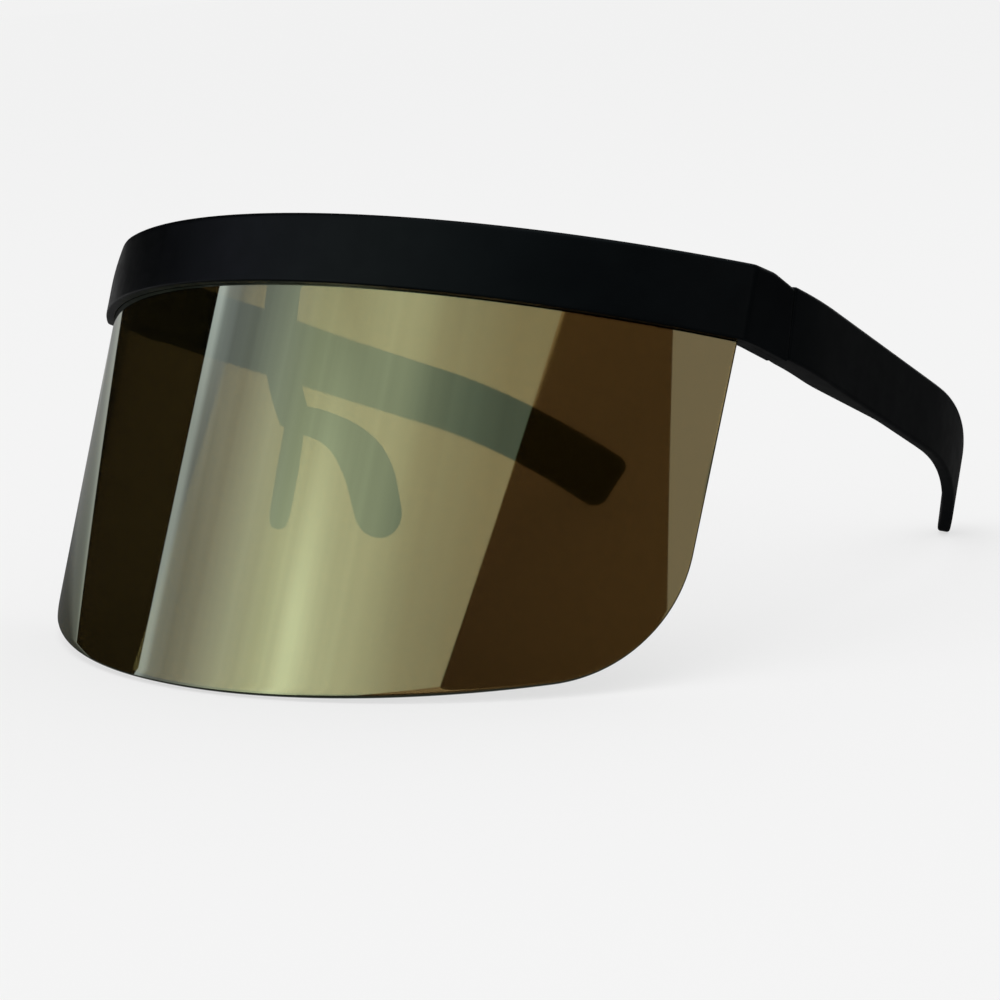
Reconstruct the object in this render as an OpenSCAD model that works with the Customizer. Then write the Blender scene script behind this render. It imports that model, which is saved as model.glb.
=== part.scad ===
// Wrap-round shield sunglasses: one curved lens hung in a moulded brow bar,
// a one-piece nose piece on the bar's back, and two temples on five-knuckle
// screwed hinges. Millimetres. The pieces are drawn as worn, with the bar's
// top edge level, and are then laid back together until the lens and both
// temple tips stand on the plane z = 0, with the front facing -Y.

/* [Brow bar] */
// Width of the front across its two corners
frame_w = 156; // [148:1:164]
// Radius of the front's bow, measured to the outer face
bow_r = 108; // [102:1:116]
// Height of the bar in the middle
bar_h = 12.1; // [11:0.1:13.5]
// Extra height of the bar at its corners
bar_flare = 0.7; // [0.2:0.1:1.2]
// Thickness of the bar from front to back
bar_t = 4.5; // [4.3:0.1:5]
// Thickness of the lip in front of the lens
lip_t = 1.65; // [1.5:0.05:1.8]
// Rounding of the bar's top edges
top_round = 0.8; // [0.4:0.1:1.2]
// Length of the endpiece from the corner to the hinge seam
endpiece_l = 11.6; // [11:0.1:13]
// Lean of the hinge seam, backwards on its way down, in degrees
seam_lean = 6; // [0:1:9]
// Length of the slope on the endpiece's top
end_slope_l = 5.5; // [4:0.1:7]
// Drop of the endpiece's top edge at the seam
end_drop = 1.1; // [0.6:0.1:1.6]
// Extra depth of the endpiece's bottom edge at the seam
end_flare = 0.5; // [0.2:0.1:0.8]

/* [Lens] */
// Thickness of the lens
lens_t = 1.8; // [1.6:0.05:1.85]
// Lowest edge of the lens below the bar's top edge
lens_drop = 82.4; // [76:0.5:88]
// Depth of the lens in the bar's groove
lens_seat = 5.8; // [5:0.1:6.5]
// Distance from the lens's top side corner to the bar's corner, round the bow
lens_side_gap = 0.4; // [0.2:0.1:1.5]
// Lean of the lens's side edges, inwards on their way down
lens_side_lean = 2; // [0.5:0.5:5]
// Radius of the lens's lower corners
lens_corner_r = 26.5; // [20:0.5:32]
// Radius of the lens's bottom edge
lens_bottom_r = 222; // [180:2:300]

/* [Temples] */
// Length of a temple along its outer face
temple_l = 116; // [108:1:124]
// Height of a temple
temple_h = 12.1; // [11:0.1:13]
// Thickness of a temple's plate
temple_t = 2.4; // [2:0.1:3]
// Thickness of a temple at its hinge
temple_root_t = 5.6; // [5.4:0.1:6]
// Step down from the bar's top edge to the temple's top edge
temple_step = 0.8; // [0.5:0.1:1.4]
// Distance from the seam over which the root thickens
root_rise = 3.5; // [3:0.1:4]
// Distance from the seam to the end of the thick root
root_l = 20; // [16:0.5:24]
// Length over which the root tapers to the plate
root_taper_l = 24; // [16:0.5:30]
// Toe-in of a temple at the seam, in degrees
toe_start = 2; // [1:0.5:4]
// Toe-in of a temple's straight run, in degrees
toe_in = 13; // [11:0.5:14]
// Length over which the toe-in is reached
toe_l = 14; // [10:0.5:18]
// Distance from the seam to the start of the inward bend
bend_at = 63.5; // [56:0.5:66]
// Inward bend of the temple's rear run, in degrees
bend_angle = 27; // [24:0.5:32]
// Downward lead of the temple's straight run, in degrees
drop_lead = 1.5; // [0.5:0.1:2]
// Distance behind the seam where the temple starts to drop
drop_at = 67; // [60:0.5:70]
// Downward slope of the temple's top edge at the tip, in degrees
drop_angle = 26.5; // [24:0.5:32]
// Lean of the tip's end from upright, in degrees
tip_lean = 19; // [12:0.5:22]
// Radius of the tip's corners
tip_round = 2.5; // [1.5:0.1:3.5]
// Radius of the temple's front corners
front_round = 0.7; // [0.4:0.1:1]

/* [Hinges] */
// Number of knuckles on each hinge
knuckles = 5; // [3:2:7]
// Height of a hinge leaf
leaf_h = 9.6; // [9:0.1:10]
// Thickness of a hinge leaf
leaf_t = 1.1; // [0.9:0.05:1.2]
// Length of a hinge leaf from the hinge axis
leaf_l = 8.2; // [7.8:0.1:8.6]
// Outer radius of a knuckle
knuckle_r = 1.7; // [1.6:0.05:1.75]
// Radius of the hinge screw's shank
pin_r = 0.6; // [0.5:0.05:0.7]
// Radius of the hinge screw's head
pin_head_r = 1.1; // [1:0.05:1.2]
// Height of the hinge screw's head
pin_head_h = 0.8; // [0.6:0.05:0.9]
// Radius of a leaf screw's shank
leaf_screw_r = 0.5; // [0.4:0.05:0.6]
// Radius of a leaf screw's countersunk head
leaf_screw_head_r = 0.95; // [0.9:0.05:1]
// Depth of a leaf screw in the plastic
leaf_screw_l = 2.5; // [2:0.1:2.8]

/* [Nose piece] */
// Width of the nose piece's mounting plate
nose_plate_w = 15; // [14:0.5:17]
// Thickness of the mounting plate and the stem
nose_t = 2.3; // [2:0.1:2.6]
// Width of the stem
stem_w = 7; // [6:0.5:8]
// Radius of the stem's backward sweep
stem_r = 34; // [30:1:40]
// Angle of the stem's backward sweep, in degrees
stem_sweep = 40; // [34:1:44]
// Angle of each leg away from straight back, in degrees
leg_splay = 45; // [40:1:50]
// Reach of a leg before it turns down
leg_reach = 2; // [1.5:0.1:3]
// Radius of a leg's downward turn
leg_turn_r = 14; // [12:0.5:16]
// Angle of a leg's downward turn, in degrees
leg_turn = 68; // [60:1:76]
// Length of a leg below its turn
leg_run = 9.4; // [8:0.1:12]
// Greatest width of a leg
leg_w = 8.6; // [7.5:0.1:9.5]
// Thickness of a leg
leg_t = 3.8; // [3:0.1:4.4]

/* [Screws] */
// Radius of a lens screw's shank
lens_screw_r = 0.5; // [0.4:0.05:0.6]
// Radius of a lens screw's head
lens_screw_head_r = 1.1; // [0.9:0.05:1.3]
// Radius of a nose screw's shank
nose_screw_r = 0.6; // [0.5:0.05:0.7]
// Radius of a nose screw's head
nose_screw_head_r = 1.25; // [1:0.05:1.4]
// Depth of a nose screw in the bar
nose_screw_l = 2.6; // [2:0.1:3]
// Height of the pan heads
pan_h = 0.7; // [0.5:0.05:0.9]
// Depth of a screwdriver's slot in a head
driver_slot_d = 0.3; // [0.2:0.05:0.35]
// Width of a screwdriver's slot
driver_slot_w = 0.35; // [0.25:0.05:0.45]

/* [Fits] */
// Gap on each face of the lens in its groove
groove_gap = 0.05; // [0.03:0.01:0.1]
// Gap across the seam between endpiece and temple
seam_gap = 0.2; // [0.15:0.05:0.3]
// Gap between neighbouring knuckles
knuckle_gap = 0.06; // [0.04:0.01:0.1]
// Radial gap between the hinge screw and the turning knuckles
pin_run_gap = 0.05; // [0.03:0.01:0.08]
// Radial gap between a screw and the hole it is driven into
thread_gap = 0.02; // [0.01:0.01:0.03]
// Gap between the barrels and the plastic around them
barrel_gap = 0.2; // [0.15:0.05:0.3]
// Gap between the lens's screw holes and their screws
lens_hole_gap = 0.15; // [0.1:0.05:0.2]

/* [Hidden] */
$fn = 72;
// Overrun of every cut past the face that it opens
over = 0.5;
// A square corner, half a turn and a whole turn, in degrees
square_turn = 90;
half_turn = 180;
full_turn = 360;
// Steps along a temple, round a tip corner and along the lens's edges
temple_steps = 44;
tip_steps = 8;
edge_steps = 22;
// Rings along a nose leg, and points round each ring
leg_rings = 22;
leg_sides = 14;

// Front: the bow's axis lies behind it, and the bow ends where it is frame_w wide
half_w = frame_w / 2;
corner_angle = asin(half_w / bow_r);
corner_y = bow_r - bow_r * cos(corner_angle);
seam_y = corner_y + endpiece_l;
seam_slope = tan(seam_lean);
bar_inner_r = bow_r - bar_t;
bar_deep = bar_h + bar_flare + end_flare + over;
groove_top = bar_h - lens_seat;

// Lens: its two radii, and its outline rolled out flat
lens_r = bow_r - lip_t - groove_gap;
lens_inner_r = lens_r - lens_t;
groove_w = lens_t + 2 * groove_gap;
lens_top = groove_top + groove_gap;
lens_half = lens_r * corner_angle * PI / half_turn - lens_side_gap;
groove_angle = (lens_half + lens_side_gap / 2) / lens_r * half_turn / PI;
side_normal = [cos(lens_side_lean), sin(lens_side_lean)];
side_along = [-sin(lens_side_lean), cos(lens_side_lean)];
bottom_centre = [0, lens_drop - lens_bottom_r];
corner_reach = side_normal[0] * lens_half - lens_corner_r;
corner_offset = side_normal * corner_reach - bottom_centre;
corner_run = -(corner_offset * side_along)
    + sqrt(pow(corner_offset * side_along, 2) - corner_offset * corner_offset
           + pow(lens_bottom_r - lens_corner_r, 2));
corner_centre = side_normal * corner_reach + side_along * corner_run;
corner_from = atan2(corner_centre[0] - bottom_centre[0],
                    corner_centre[1] - bottom_centre[1]);
corner_to = square_turn - lens_side_lean;
lens_screw_shares = [-0.82, -0.3, 0.3, 0.82];
lens_screw_angles = lens_screw_shares * corner_angle;
lens_screw_drop = (groove_top + bar_h) / 2;
lens_screw_tip = lip_t * 0.6;

// Hinge axis: inside the endpiece's inner face, on the seam
leaf_face = knuckle_r + barrel_gap;
hinge_x = half_w - bar_t - leaf_face;
hinge_drop = temple_step + temple_h / 2;
knuckle_pitch = leaf_h / knuckles;
scallop_r = leaf_face + barrel_gap;
leaf_start = knuckle_r + barrel_gap;
leaf_screw_shares = [0.26, 0.74];
leaf_screw_places = [for (share = leaf_screw_shares)
    leaf_start + (leaf_l - leaf_start) * share];
counterbore_r = pin_head_r + thread_gap;

// Temple, in plan: outer face from the seam back, heading inwards
temple_over = temple_t + over;
root_lead = temple_h * seam_slope;
root_table = [[-root_lead, bar_t], [0, bar_t], [root_rise, temple_root_t], [root_l, temple_root_t],
              [root_l + root_taper_l, temple_t], [temple_l + temple_over, temple_t]];

// Temple, in side view: level lead, then a drop to the tip
temple_end_y = plan_point(temple_l)[1];
drop_r = (temple_end_y - drop_at) / (sin(drop_angle) - sin(drop_lead));
drop_start = [drop_at, -temple_step - drop_at * tan(drop_lead)];
drop_centre = drop_start - drop_r * ray(drop_lead);
end_reach = drop_r * sin(drop_angle - tip_lean) - tip_round;
tip_top_angle = tip_lean + asin(end_reach / (drop_r - tip_round));
tip_low_angle = tip_lean + asin(end_reach / (drop_r - temple_h + tip_round));
tip_top = drop_centre + (drop_r - tip_round) * ray(tip_top_angle);
tip_low = drop_centre + (drop_r - temple_h + tip_round) * ray(tip_low_angle);

// Laid back: the lens's lower back edge and both tips touch the plane
lens_foot = [bow_r - lens_inner_r, -lens_drop];
tip_foot = [seam_y + seam_gap / 2 + tip_low[0], tip_low[1]];
foot_span = tip_foot - lens_foot;
rest_tilt = atan2(foot_span[1], foot_span[0]) - asin(tip_round / norm(foot_span));
rest_lift = lens_foot[0] * sin(rest_tilt) - lens_foot[1] * cos(rest_tilt);
rest_front = (bow_r - lens_r) * cos(rest_tilt) - lens_drop * sin(rest_tilt);
rest_back = (seam_y + seam_gap / 2 + tip_top[0]) * cos(rest_tilt)
    + tip_top[1] * sin(rest_tilt) + tip_round;
rest_middle = (rest_front + rest_back) / 2;

// Nose piece: plate on the bar's back, stem swept back, legs turned down
plate_r = bar_inner_r - groove_gap;
plate_angle = asin(nose_plate_w / 2 / bar_inner_r);
plate_top = top_round + over;
plate_low = bar_h - over;
stem_front = bow_r - plate_r;
stem_middle = stem_front + nose_t / 2;
leg_root = [stem_middle + stem_r * (1 - cos(stem_sweep)),
            -plate_low - stem_r * sin(stem_sweep)];
leg_turn_l = leg_turn_r * leg_turn * PI / half_turn;
leg_lead_l = leg_reach + nose_t / 2;
leg_l = leg_lead_l + leg_turn_l + leg_run;
leg_cap_l = leg_w / 2;
leg_width_shares = [[0, 0.56], [0.25, 0.64], [0.5, 0.96], [0.65, 1], [1, 0.92]];
leg_thick_shares = [[0, 0.8], [0.3, 0.9], [0.6, 1], [1, 0.95]];
nose_screw_drop = (top_round + groove_top) / 2;
nose_screw_angle = plate_angle * 0.62;

// Unit vector at an angle measured from upright, towards the back
function ray(angle) = [sin(angle), cos(angle)];

// Points on an arc, with angles measured as in ray()
function arc(centre, radius, from, to, steps) =
    [for (i = [0:steps]) centre + radius * ray(from + (to - from) * i / steps)];

// Travel of a path that turns evenly from one heading to another
function turn_travel(from, to, length) =
    length * half_turn / PI / (to - from) * [cos(to) - cos(from), sin(to) - sin(from)];

// Heading of the temple's outer face at a distance from the seam
function plan_heading(s) =
    s < 0 ? 0
    : s < toe_l ? toe_start + (toe_in - toe_start) * s / toe_l
    : s < bend_at ? toe_in
    : toe_in + bend_angle * (s - bend_at) / (temple_l - bend_at);

// Place of the temple's outer face at a distance from the seam
function plan_point(s) =
    s <= 0 ? [0, s]
    : s <= toe_l ? turn_travel(toe_start, plan_heading(s), s)
    : s <= bend_at ? plan_point(toe_l) + (s - toe_l) * [-sin(toe_in), cos(toe_in)]
    : plan_point(bend_at) + turn_travel(toe_in, plan_heading(s), s - bend_at);

// Place of the temple's inner face at a distance from the seam
function plan_inner(s) =
    plan_point(s) - lookup(s, root_table) * [cos(plan_heading(s)), sin(plan_heading(s))];

// Point at a radius, an angle round the bow and a depth below the top edge
function bow_point(radius, angle, depth) =
    [radius * sin(angle), bow_r - radius * cos(angle), -depth];

// Half of the lens's edge rolled out flat, from the middle to the side's top
lens_edge = concat(
    [for (i = [0:edge_steps]) let (a = corner_from * i / edge_steps)
        bottom_centre + lens_bottom_r * ray(a)],
    [for (i = [1:edge_steps]) let (a = corner_from + (corner_to - corner_from) * i / edge_steps)
        corner_centre + lens_corner_r * ray(a)],
    [[lens_half - tan(lens_side_lean) * (lens_top - over), lens_top - over]]);
edge_last = len(lens_edge) - 1;
lens_rim = concat(
    [for (i = [edge_last:-1:1]) [-lens_edge[i][0], lens_edge[i][1]]], lens_edge);

// Lay the worn glasses back on their rest and centre them over it
module laid_back() {
    translate([0, -rest_middle, rest_lift])
        rotate([-rest_tilt, 0, 0])
            children();
}

// The wearer's left side is drawn, the right side is its mirror image
module on_side(side) {
    if (side == "left") children();
    else mirror([1, 0, 0]) children();
}

// Turn a piece to an angle round the bow, its +Y pointing at the bow's axis
module at_bow(angle, depth) {
    translate([0, bow_r, -depth])
        rotate([0, 0, angle])
            children();
}

// Ring sector round the bow's axis, drawn from a section
module round_bow(from, to) {
    translate([0, bow_r, 0])
        rotate([0, 0, from - square_turn])
            rotate_extrude(angle = to - from)
                children();
}

// Section from the middle to x, as deep as the bar, with its top edge rounded
module rounded_section(x) {
    translate([0, -bar_deep]) square([x, bar_deep - top_round]);
    translate([0, -bar_deep]) square([x - top_round, bar_deep]);
    translate([x - top_round, -top_round]) circle(top_round);
}

// Section from the middle to x, taller than the bar, that rounds the top edge
// of what stands outside it
module rounding_section(x) {
    translate([0, -bar_deep - over]) square([x, bar_deep + 2 * over]);
    difference() {
        translate([0, -top_round]) square([x + top_round, top_round + over]);
        translate([x + top_round, -top_round]) circle(top_round);
    }
}

// Block as wide as the front, drawn from half of its section, from y = 0 to rear
module straight_block(rear) {
    for (side = ["left", "right"])
        on_side(side)
            translate([0, rear, 0])
                rotate([square_turn, 0, 0])
                    linear_extrude(rear + over)
                        children();
}

// Bow and endpieces in one: a disc and a block share their outline, and a
// smaller disc and block share the room inside them
module bar_body() {
    rear = seam_y + bar_deep * seam_slope;
    difference() {
        intersection() {
            translate([0, bow_r, 0]) rotate_extrude() rounded_section(bow_r);
            straight_block(rear) rounded_section(half_w);
        }
        intersection() {
            translate([0, bow_r, 0]) rotate_extrude() rounding_section(bar_inner_r);
            straight_block(rear + over) rounding_section(half_w - bar_t);
        }
    }
}

// Side outline that the bar is trimmed to: flaring bottom, sloping ends
module bar_side_trim() {
    low = bar_h + bar_flare + end_flare;
    rear_top = seam_y - seam_gap / 2 - (hinge_drop - end_drop) * seam_slope;
    rear_low = seam_y - seam_gap / 2 + (low - hinge_drop) * seam_slope;
    rotate([square_turn, 0, square_turn])
        linear_extrude(frame_w + 2 * over, center = true)
            polygon([
                [-over, over], [rear_top - end_slope_l, over], [rear_top - end_slope_l, 0],
                [rear_top, -end_drop], [rear_low, -low],
                [corner_y + bar_t, -bar_h - bar_flare], [0, -bar_h], [-over, -bar_h]]);
}

// Blind holes for the screws of one hinge leaf, into the plastic outside it
module leaf_screw_holes(ahead) {
    for (place = leaf_screw_places)
        translate([leaf_face - over, ahead * place, 0])
            rotate([0, square_turn, 0])
                cylinder(h = leaf_screw_l + over, r = leaf_screw_r + thread_gap);
}

// Move a hinge piece from its axis to its place on the left side
module at_hinge() {
    translate([hinge_x, seam_y, -hinge_drop]) children();
}

module brow_bar() {
    color([0.055, 0.06, 0.065]) laid_back()
        difference() {
            intersection() {
                bar_body();
                bar_side_trim();
            }
            round_bow(-groove_angle, groove_angle)
                translate([lens_inner_r - groove_gap, -bar_deep - over])
                    square([groove_w, bar_deep + over - groove_top]);
            for (angle = lens_screw_angles)
                at_bow(angle, lens_screw_drop)
                    translate([0, over - bar_inner_r, 0])
                        rotate([square_turn, 0, 0])
                            cylinder(h = bar_t - lip_t + lens_screw_tip + over,
                                     r = lens_screw_r + thread_gap);
            for (angle = [-nose_screw_angle, nose_screw_angle])
                at_bow(angle, nose_screw_drop)
                    translate([0, over - bar_inner_r, 0])
                        rotate([square_turn, 0, 0])
                            cylinder(h = nose_screw_l + over, r = nose_screw_r + thread_gap);
            for (side = ["left", "right"])
                on_side(side) at_hinge() leaf_screw_holes(-1);
        }
}

// Solid whose walls stand square to the bow along the lens's edge
module lens_edge_cutter() {
    outer = (lens_r + over) / cos(corner_angle / edge_steps);
    inner = lens_inner_r - over;
    last = len(lens_rim) - 1;
    points = [for (place = lens_rim)
        let (angle = place[0] / lens_r * half_turn / PI)
        each [bow_point(outer, angle, lens_top - 2 * over), bow_point(outer, angle, place[1]),
              bow_point(inner, angle, lens_top - 2 * over), bow_point(inner, angle, place[1])]];
    faces = concat(
        [for (i = [0:last - 1]) let (a = 4 * i, b = 4 * i + 4)
            each [[a, b, a + 1], [b, b + 1, a + 1],
                  [a + 2, a + 3, b + 2], [b + 2, a + 3, b + 3],
                  [a, a + 2, b], [b, a + 2, b + 2],
                  [a + 1, b + 1, a + 3], [b + 1, b + 3, a + 3]]],
        [[0, 1, 2], [1, 3, 2],
         [4 * last, 4 * last + 2, 4 * last + 1], [4 * last + 1, 4 * last + 2, 4 * last + 3]]);
    polyhedron(points = points, faces = faces);
}

module shield_lens() {
    color([0.55, 0.5, 0.28, 0.75]) laid_back()
        difference() {
            intersection() {
                round_bow(-corner_angle, corner_angle)
                    translate([lens_inner_r, -lens_drop - over])
                        square([lens_t, lens_drop + over - lens_top]);
                lens_edge_cutter();
            }
            for (angle = lens_screw_angles)
                at_bow(angle, lens_screw_drop)
                    translate([0, over - lens_inner_r, 0])
                        rotate([square_turn, 0, 0])
                            cylinder(h = lens_t + 2 * over, r = lens_screw_r + lens_hole_gap);
        }
}

// Pan-head screw with its head's seat at the origin, pointing along -Z
module pan_screw(shank_r, shank_l, head_r) {
    difference() {
        union() {
            translate([0, 0, -shank_l]) cylinder(h = shank_l, r = shank_r);
            cylinder(h = pan_h * 0.6, r = head_r);
            translate([0, 0, pan_h * 0.6])
                cylinder(h = pan_h * 0.4, r1 = head_r, r2 = head_r * 0.8);
        }
        translate([0, 0, pan_h])
            cube([2 * head_r + over, driver_slot_w, 2 * driver_slot_d], center = true);
    }
}

module lens_screws() {
    color([0.5, 0.5, 0.52]) laid_back()
        for (angle = lens_screw_angles)
            at_bow(angle, lens_screw_drop)
                translate([0, -bar_inner_r + groove_gap, 0])
                    rotate([-square_turn, 0, 0])
                        pan_screw(lens_screw_r, bar_t - lip_t + lens_screw_tip, lens_screw_head_r);
}

// One leg of the nose piece in its own upright plane, +X outwards from the stem
module nose_leg() {
    function heading(s) = max(0, min(leg_turn, (s - leg_lead_l) / leg_turn_r * half_turn / PI));
    function place(s) =
        s <= leg_lead_l ? [s - nose_t / 2, 0]
        : s <= leg_lead_l + leg_turn_l
        ? [leg_reach + leg_turn_r * sin(heading(s)), -leg_turn_r * (1 - cos(heading(s)))]
        : place(leg_lead_l + leg_turn_l)
          + (s - leg_lead_l - leg_turn_l) * [cos(leg_turn), -sin(leg_turn)];
    function cap(s) = sqrt(max(0.02, 1 - pow(max(0, s - leg_l + leg_cap_l) / leg_cap_l, 2)));
    function bulge(v) = sign(v) * pow(abs(v), 0.8);
    points = [for (i = [0:leg_rings])
        let (s = leg_l * sin(square_turn * i / leg_rings), a = heading(s), c = place(s),
             w = leg_w / 2 * lookup(s / leg_l, leg_width_shares) * cap(s),
             t = leg_t / 2 * lookup(s / leg_l, leg_thick_shares) * sqrt(cap(s)))
        for (j = [0:leg_sides - 1])
            let (turn = full_turn * j / leg_sides, u = w * bulge(cos(turn)), v = t * bulge(sin(turn)))
            [c[0] + u * sin(a), v, c[1] + u * cos(a)]];
    faces = concat(
        [for (i = [0:leg_rings - 1], j = [0:leg_sides - 1])
            let (a = i * leg_sides, b = a + leg_sides, k = (j + 1) % leg_sides)
            each [[a + j, a + k, b + j], [a + k, b + k, b + j]]],
        [[for (j = [leg_sides - 1:-1:0]) j]],
        [[for (j = [0:leg_sides - 1]) leg_rings * leg_sides + j]]);
    polyhedron(points = points, faces = faces);
}

module nose_piece() {
    color([0.09, 0.095, 0.1]) laid_back()
        difference() {
            union() {
                round_bow(-plate_angle, plate_angle)
                    translate([plate_r - nose_t, -plate_low])
                        square([nose_t, plate_low - plate_top]);
                rotate([square_turn, 0, square_turn])
                    linear_extrude(stem_w, center = true)
                        polygon(concat(
                            [[stem_front + nose_t, -plate_low + nose_t],
                             [stem_front + groove_gap, -plate_low + nose_t]],
                            [for (i = [0:edge_steps]) let (a = stem_sweep * i / edge_steps)
                                [stem_middle + stem_r - (stem_r + nose_t / 2) * cos(a),
                                 -plate_low - (stem_r + nose_t / 2) * sin(a)]],
                            [for (i = [edge_steps:-1:0]) let (a = stem_sweep * i / edge_steps)
                                [stem_middle + stem_r - (stem_r - nose_t / 2) * cos(a),
                                 -plate_low - (stem_r - nose_t / 2) * sin(a)]]));
                translate([0, leg_root[0], leg_root[1]]) {
                    sphere(leg_w * leg_width_shares[0][1] / 2 + groove_gap);
                    for (side = ["left", "right"])
                        on_side(side) rotate([0, 0, square_turn - leg_splay]) nose_leg();
                }
            }
            for (angle = [-nose_screw_angle, nose_screw_angle])
                at_bow(angle, nose_screw_drop)
                    translate([0, over + nose_t - bar_inner_r, 0])
                        rotate([square_turn, 0, 0])
                            cylinder(h = nose_t + 2 * over, r = nose_screw_r + thread_gap);
        }
}

module nose_screws() {
    color([0.5, 0.5, 0.52]) laid_back()
        for (angle = [-nose_screw_angle, nose_screw_angle])
            at_bow(angle, nose_screw_drop)
                translate([0, nose_t + 2 * groove_gap - bar_inner_r, 0])
                    rotate([-square_turn, 0, 0])
                        pan_screw(nose_screw_r, nose_t + 2 * groove_gap + nose_screw_l - thread_gap,
                                  nose_screw_head_r);
}

// Plate and knuckles of a leaf; ahead is -1 on the front's leaf and 1 on the
// temple's, and first is the lowest knuckle that the leaf carries
module hinge_leaf(ahead, first, bore_gap) {
    difference() {
        union() {
            translate([leaf_face - leaf_t, min(ahead * leaf_start, ahead * leaf_l), -leaf_h / 2])
                cube([leaf_t, leaf_l - leaf_start, leaf_h]);
            for (i = [first:2:knuckles - 1])
                translate([0, 0, i * knuckle_pitch + knuckle_gap / 2 - leaf_h / 2]) {
                    cylinder(h = knuckle_pitch - knuckle_gap, r = knuckle_r);
                    translate([leaf_face - leaf_t, min(0, ahead * leaf_start), 0])
                        cube([leaf_t, leaf_start, knuckle_pitch - knuckle_gap]);
                }
        }
        translate([0, 0, -leaf_h / 2 - over])
            cylinder(h = leaf_h + 2 * over, r = pin_r + bore_gap);
        if (first == 0)
            translate([0, 0, leaf_h / 2 - knuckle_gap / 2 - pin_head_h])
                cylinder(h = pin_head_h + over, r = counterbore_r);
        for (place = leaf_screw_places)
            translate([leaf_face - leaf_t, ahead * place, 0])
                rotate([0, square_turn, 0]) {
                    translate([0, 0, -over])
                        cylinder(h = leaf_t + 2 * over, r = leaf_screw_r + thread_gap);
                    cylinder(h = leaf_t / 2, r1 = leaf_screw_head_r + thread_gap,
                             r2 = leaf_screw_r + thread_gap);
                }
    }
}

// Countersunk screws of one leaf, driven outwards into the plastic
module leaf_screws(ahead) {
    for (place = leaf_screw_places)
        translate([leaf_face - leaf_t, ahead * place, 0])
            rotate([0, square_turn, 0])
                difference() {
                    union() {
                        cylinder(h = leaf_t + leaf_screw_l - thread_gap, r = leaf_screw_r);
                        cylinder(h = leaf_t / 2, r1 = leaf_screw_head_r, r2 = leaf_screw_r);
                    }
                    cube([2 * leaf_screw_head_r + over, driver_slot_w, driver_slot_d],
                         center = true);
                }
}

module front_leaf(side) {
    color([0.42, 0.42, 0.44]) laid_back()
        on_side(side) at_hinge() hinge_leaf(-1, 0, thread_gap);
}

module front_leaf_screws(side) {
    color([0.6, 0.6, 0.62]) laid_back()
        on_side(side) at_hinge() leaf_screws(-1);
}

module temple_leaf(side) {
    color([0.42, 0.42, 0.44]) laid_back()
        on_side(side) at_hinge() hinge_leaf(1, 1, pin_run_gap);
}

module temple_leaf_screws(side) {
    color([0.6, 0.6, 0.62]) laid_back()
        on_side(side) at_hinge() leaf_screws(1);
}

// Screw that is the hinge's pin: head in the top knuckle, thread in the lowest
module hinge_screw(side) {
    shank_l = leaf_h - knuckle_gap;
    color([0.6, 0.6, 0.62]) laid_back()
        on_side(side) at_hinge()
            translate([0, 0, -shank_l / 2])
                difference() {
                    union() {
                        cylinder(h = shank_l, r = pin_r);
                        translate([0, 0, shank_l - pin_head_h])
                            cylinder(h = pin_head_h, r = pin_head_r);
                    }
                    translate([0, 0, shank_l])
                        cube([2 * pin_head_r + over, driver_slot_w, 2 * driver_slot_d],
                             center = true);
                }
}

// Plan of the left temple, from its outer face inwards
module temple_plan() {
    length = temple_l + temple_over;
    stations = [for (i = [0:temple_steps]) length * i / temple_steps];
    roots = [root_rise, root_l, root_l + root_taper_l];
    polygon(concat(
        [plan_point(-root_lead)],
        [for (s = stations) plan_point(s)],
        [for (i = [temple_steps:-1:1]) if (stations[i] > root_l + root_taper_l)
            plan_inner(stations[i])],
        [for (i = [2:-1:0]) plan_inner(roots[i])],
        [plan_inner(0), plan_inner(-root_lead)]));
}

// Side outline of the temple: level lead, drop, and a tip with round corners
module temple_side() {
    lead_drop = temple_h / cos(drop_lead);
    front_top = [front_round / cos(seam_lean) - (temple_h / 2 - front_round) * seam_slope,
                 -temple_step - front_round];
    front_low = [front_round / cos(seam_lean) + (lead_drop - temple_h / 2 - front_round) * seam_slope,
                 -temple_step - lead_drop + front_round];
    polygon(concat(
        arc(front_top, front_round, -square_turn - seam_lean, drop_lead, tip_steps),
        arc(drop_centre, drop_r, drop_lead, tip_top_angle, temple_steps),
        arc(tip_top, tip_round, tip_top_angle, square_turn + tip_lean, tip_steps),
        arc(tip_low, tip_round, square_turn + tip_lean, half_turn + tip_low_angle, tip_steps),
        arc(drop_centre, drop_r - temple_h, tip_low_angle, drop_lead, temple_steps),
        arc(front_low, front_round, half_turn + drop_lead,
            half_turn + square_turn - seam_lean, tip_steps)));
}

module temple(side) {
    color([0.055, 0.06, 0.065]) laid_back()
        on_side(side)
            difference() {
                translate([half_w, seam_y + seam_gap / 2, 0])
                    intersection() {
                        translate([0, 0, -lens_drop])
                            linear_extrude(lens_drop) temple_plan();
                        rotate([square_turn, 0, square_turn])
                            linear_extrude(frame_w, center = true) temple_side();
                    }
                at_hinge() {
                    cylinder(h = 2 * temple_h, r = scallop_r, center = true);
                    translate([0, 0, -leaf_h / 2 - knuckle_gap])
                        cube([leaf_face, leaf_l + knuckle_gap, leaf_h + 2 * knuckle_gap]);
                    leaf_screw_holes(1);
                }
            }
}

brow_bar();
shield_lens();
lens_screws();
nose_piece();
nose_screws();
front_leaf("left");  // front_leaf_left
front_leaf("right");  // front_leaf_right
front_leaf_screws("left");  // front_leaf_screws_left
front_leaf_screws("right");  // front_leaf_screws_right
hinge_screw("left");  // hinge_screw_left
hinge_screw("right");  // hinge_screw_right
temple("left");  // temple_left
temple("right");  // temple_right
temple_leaf("left");  // temple_leaf_left
temple_leaf("right");  // temple_leaf_right
temple_leaf_screws("left");  // temple_leaf_screws_left
temple_leaf_screws("right");  // temple_leaf_screws_right
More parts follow.
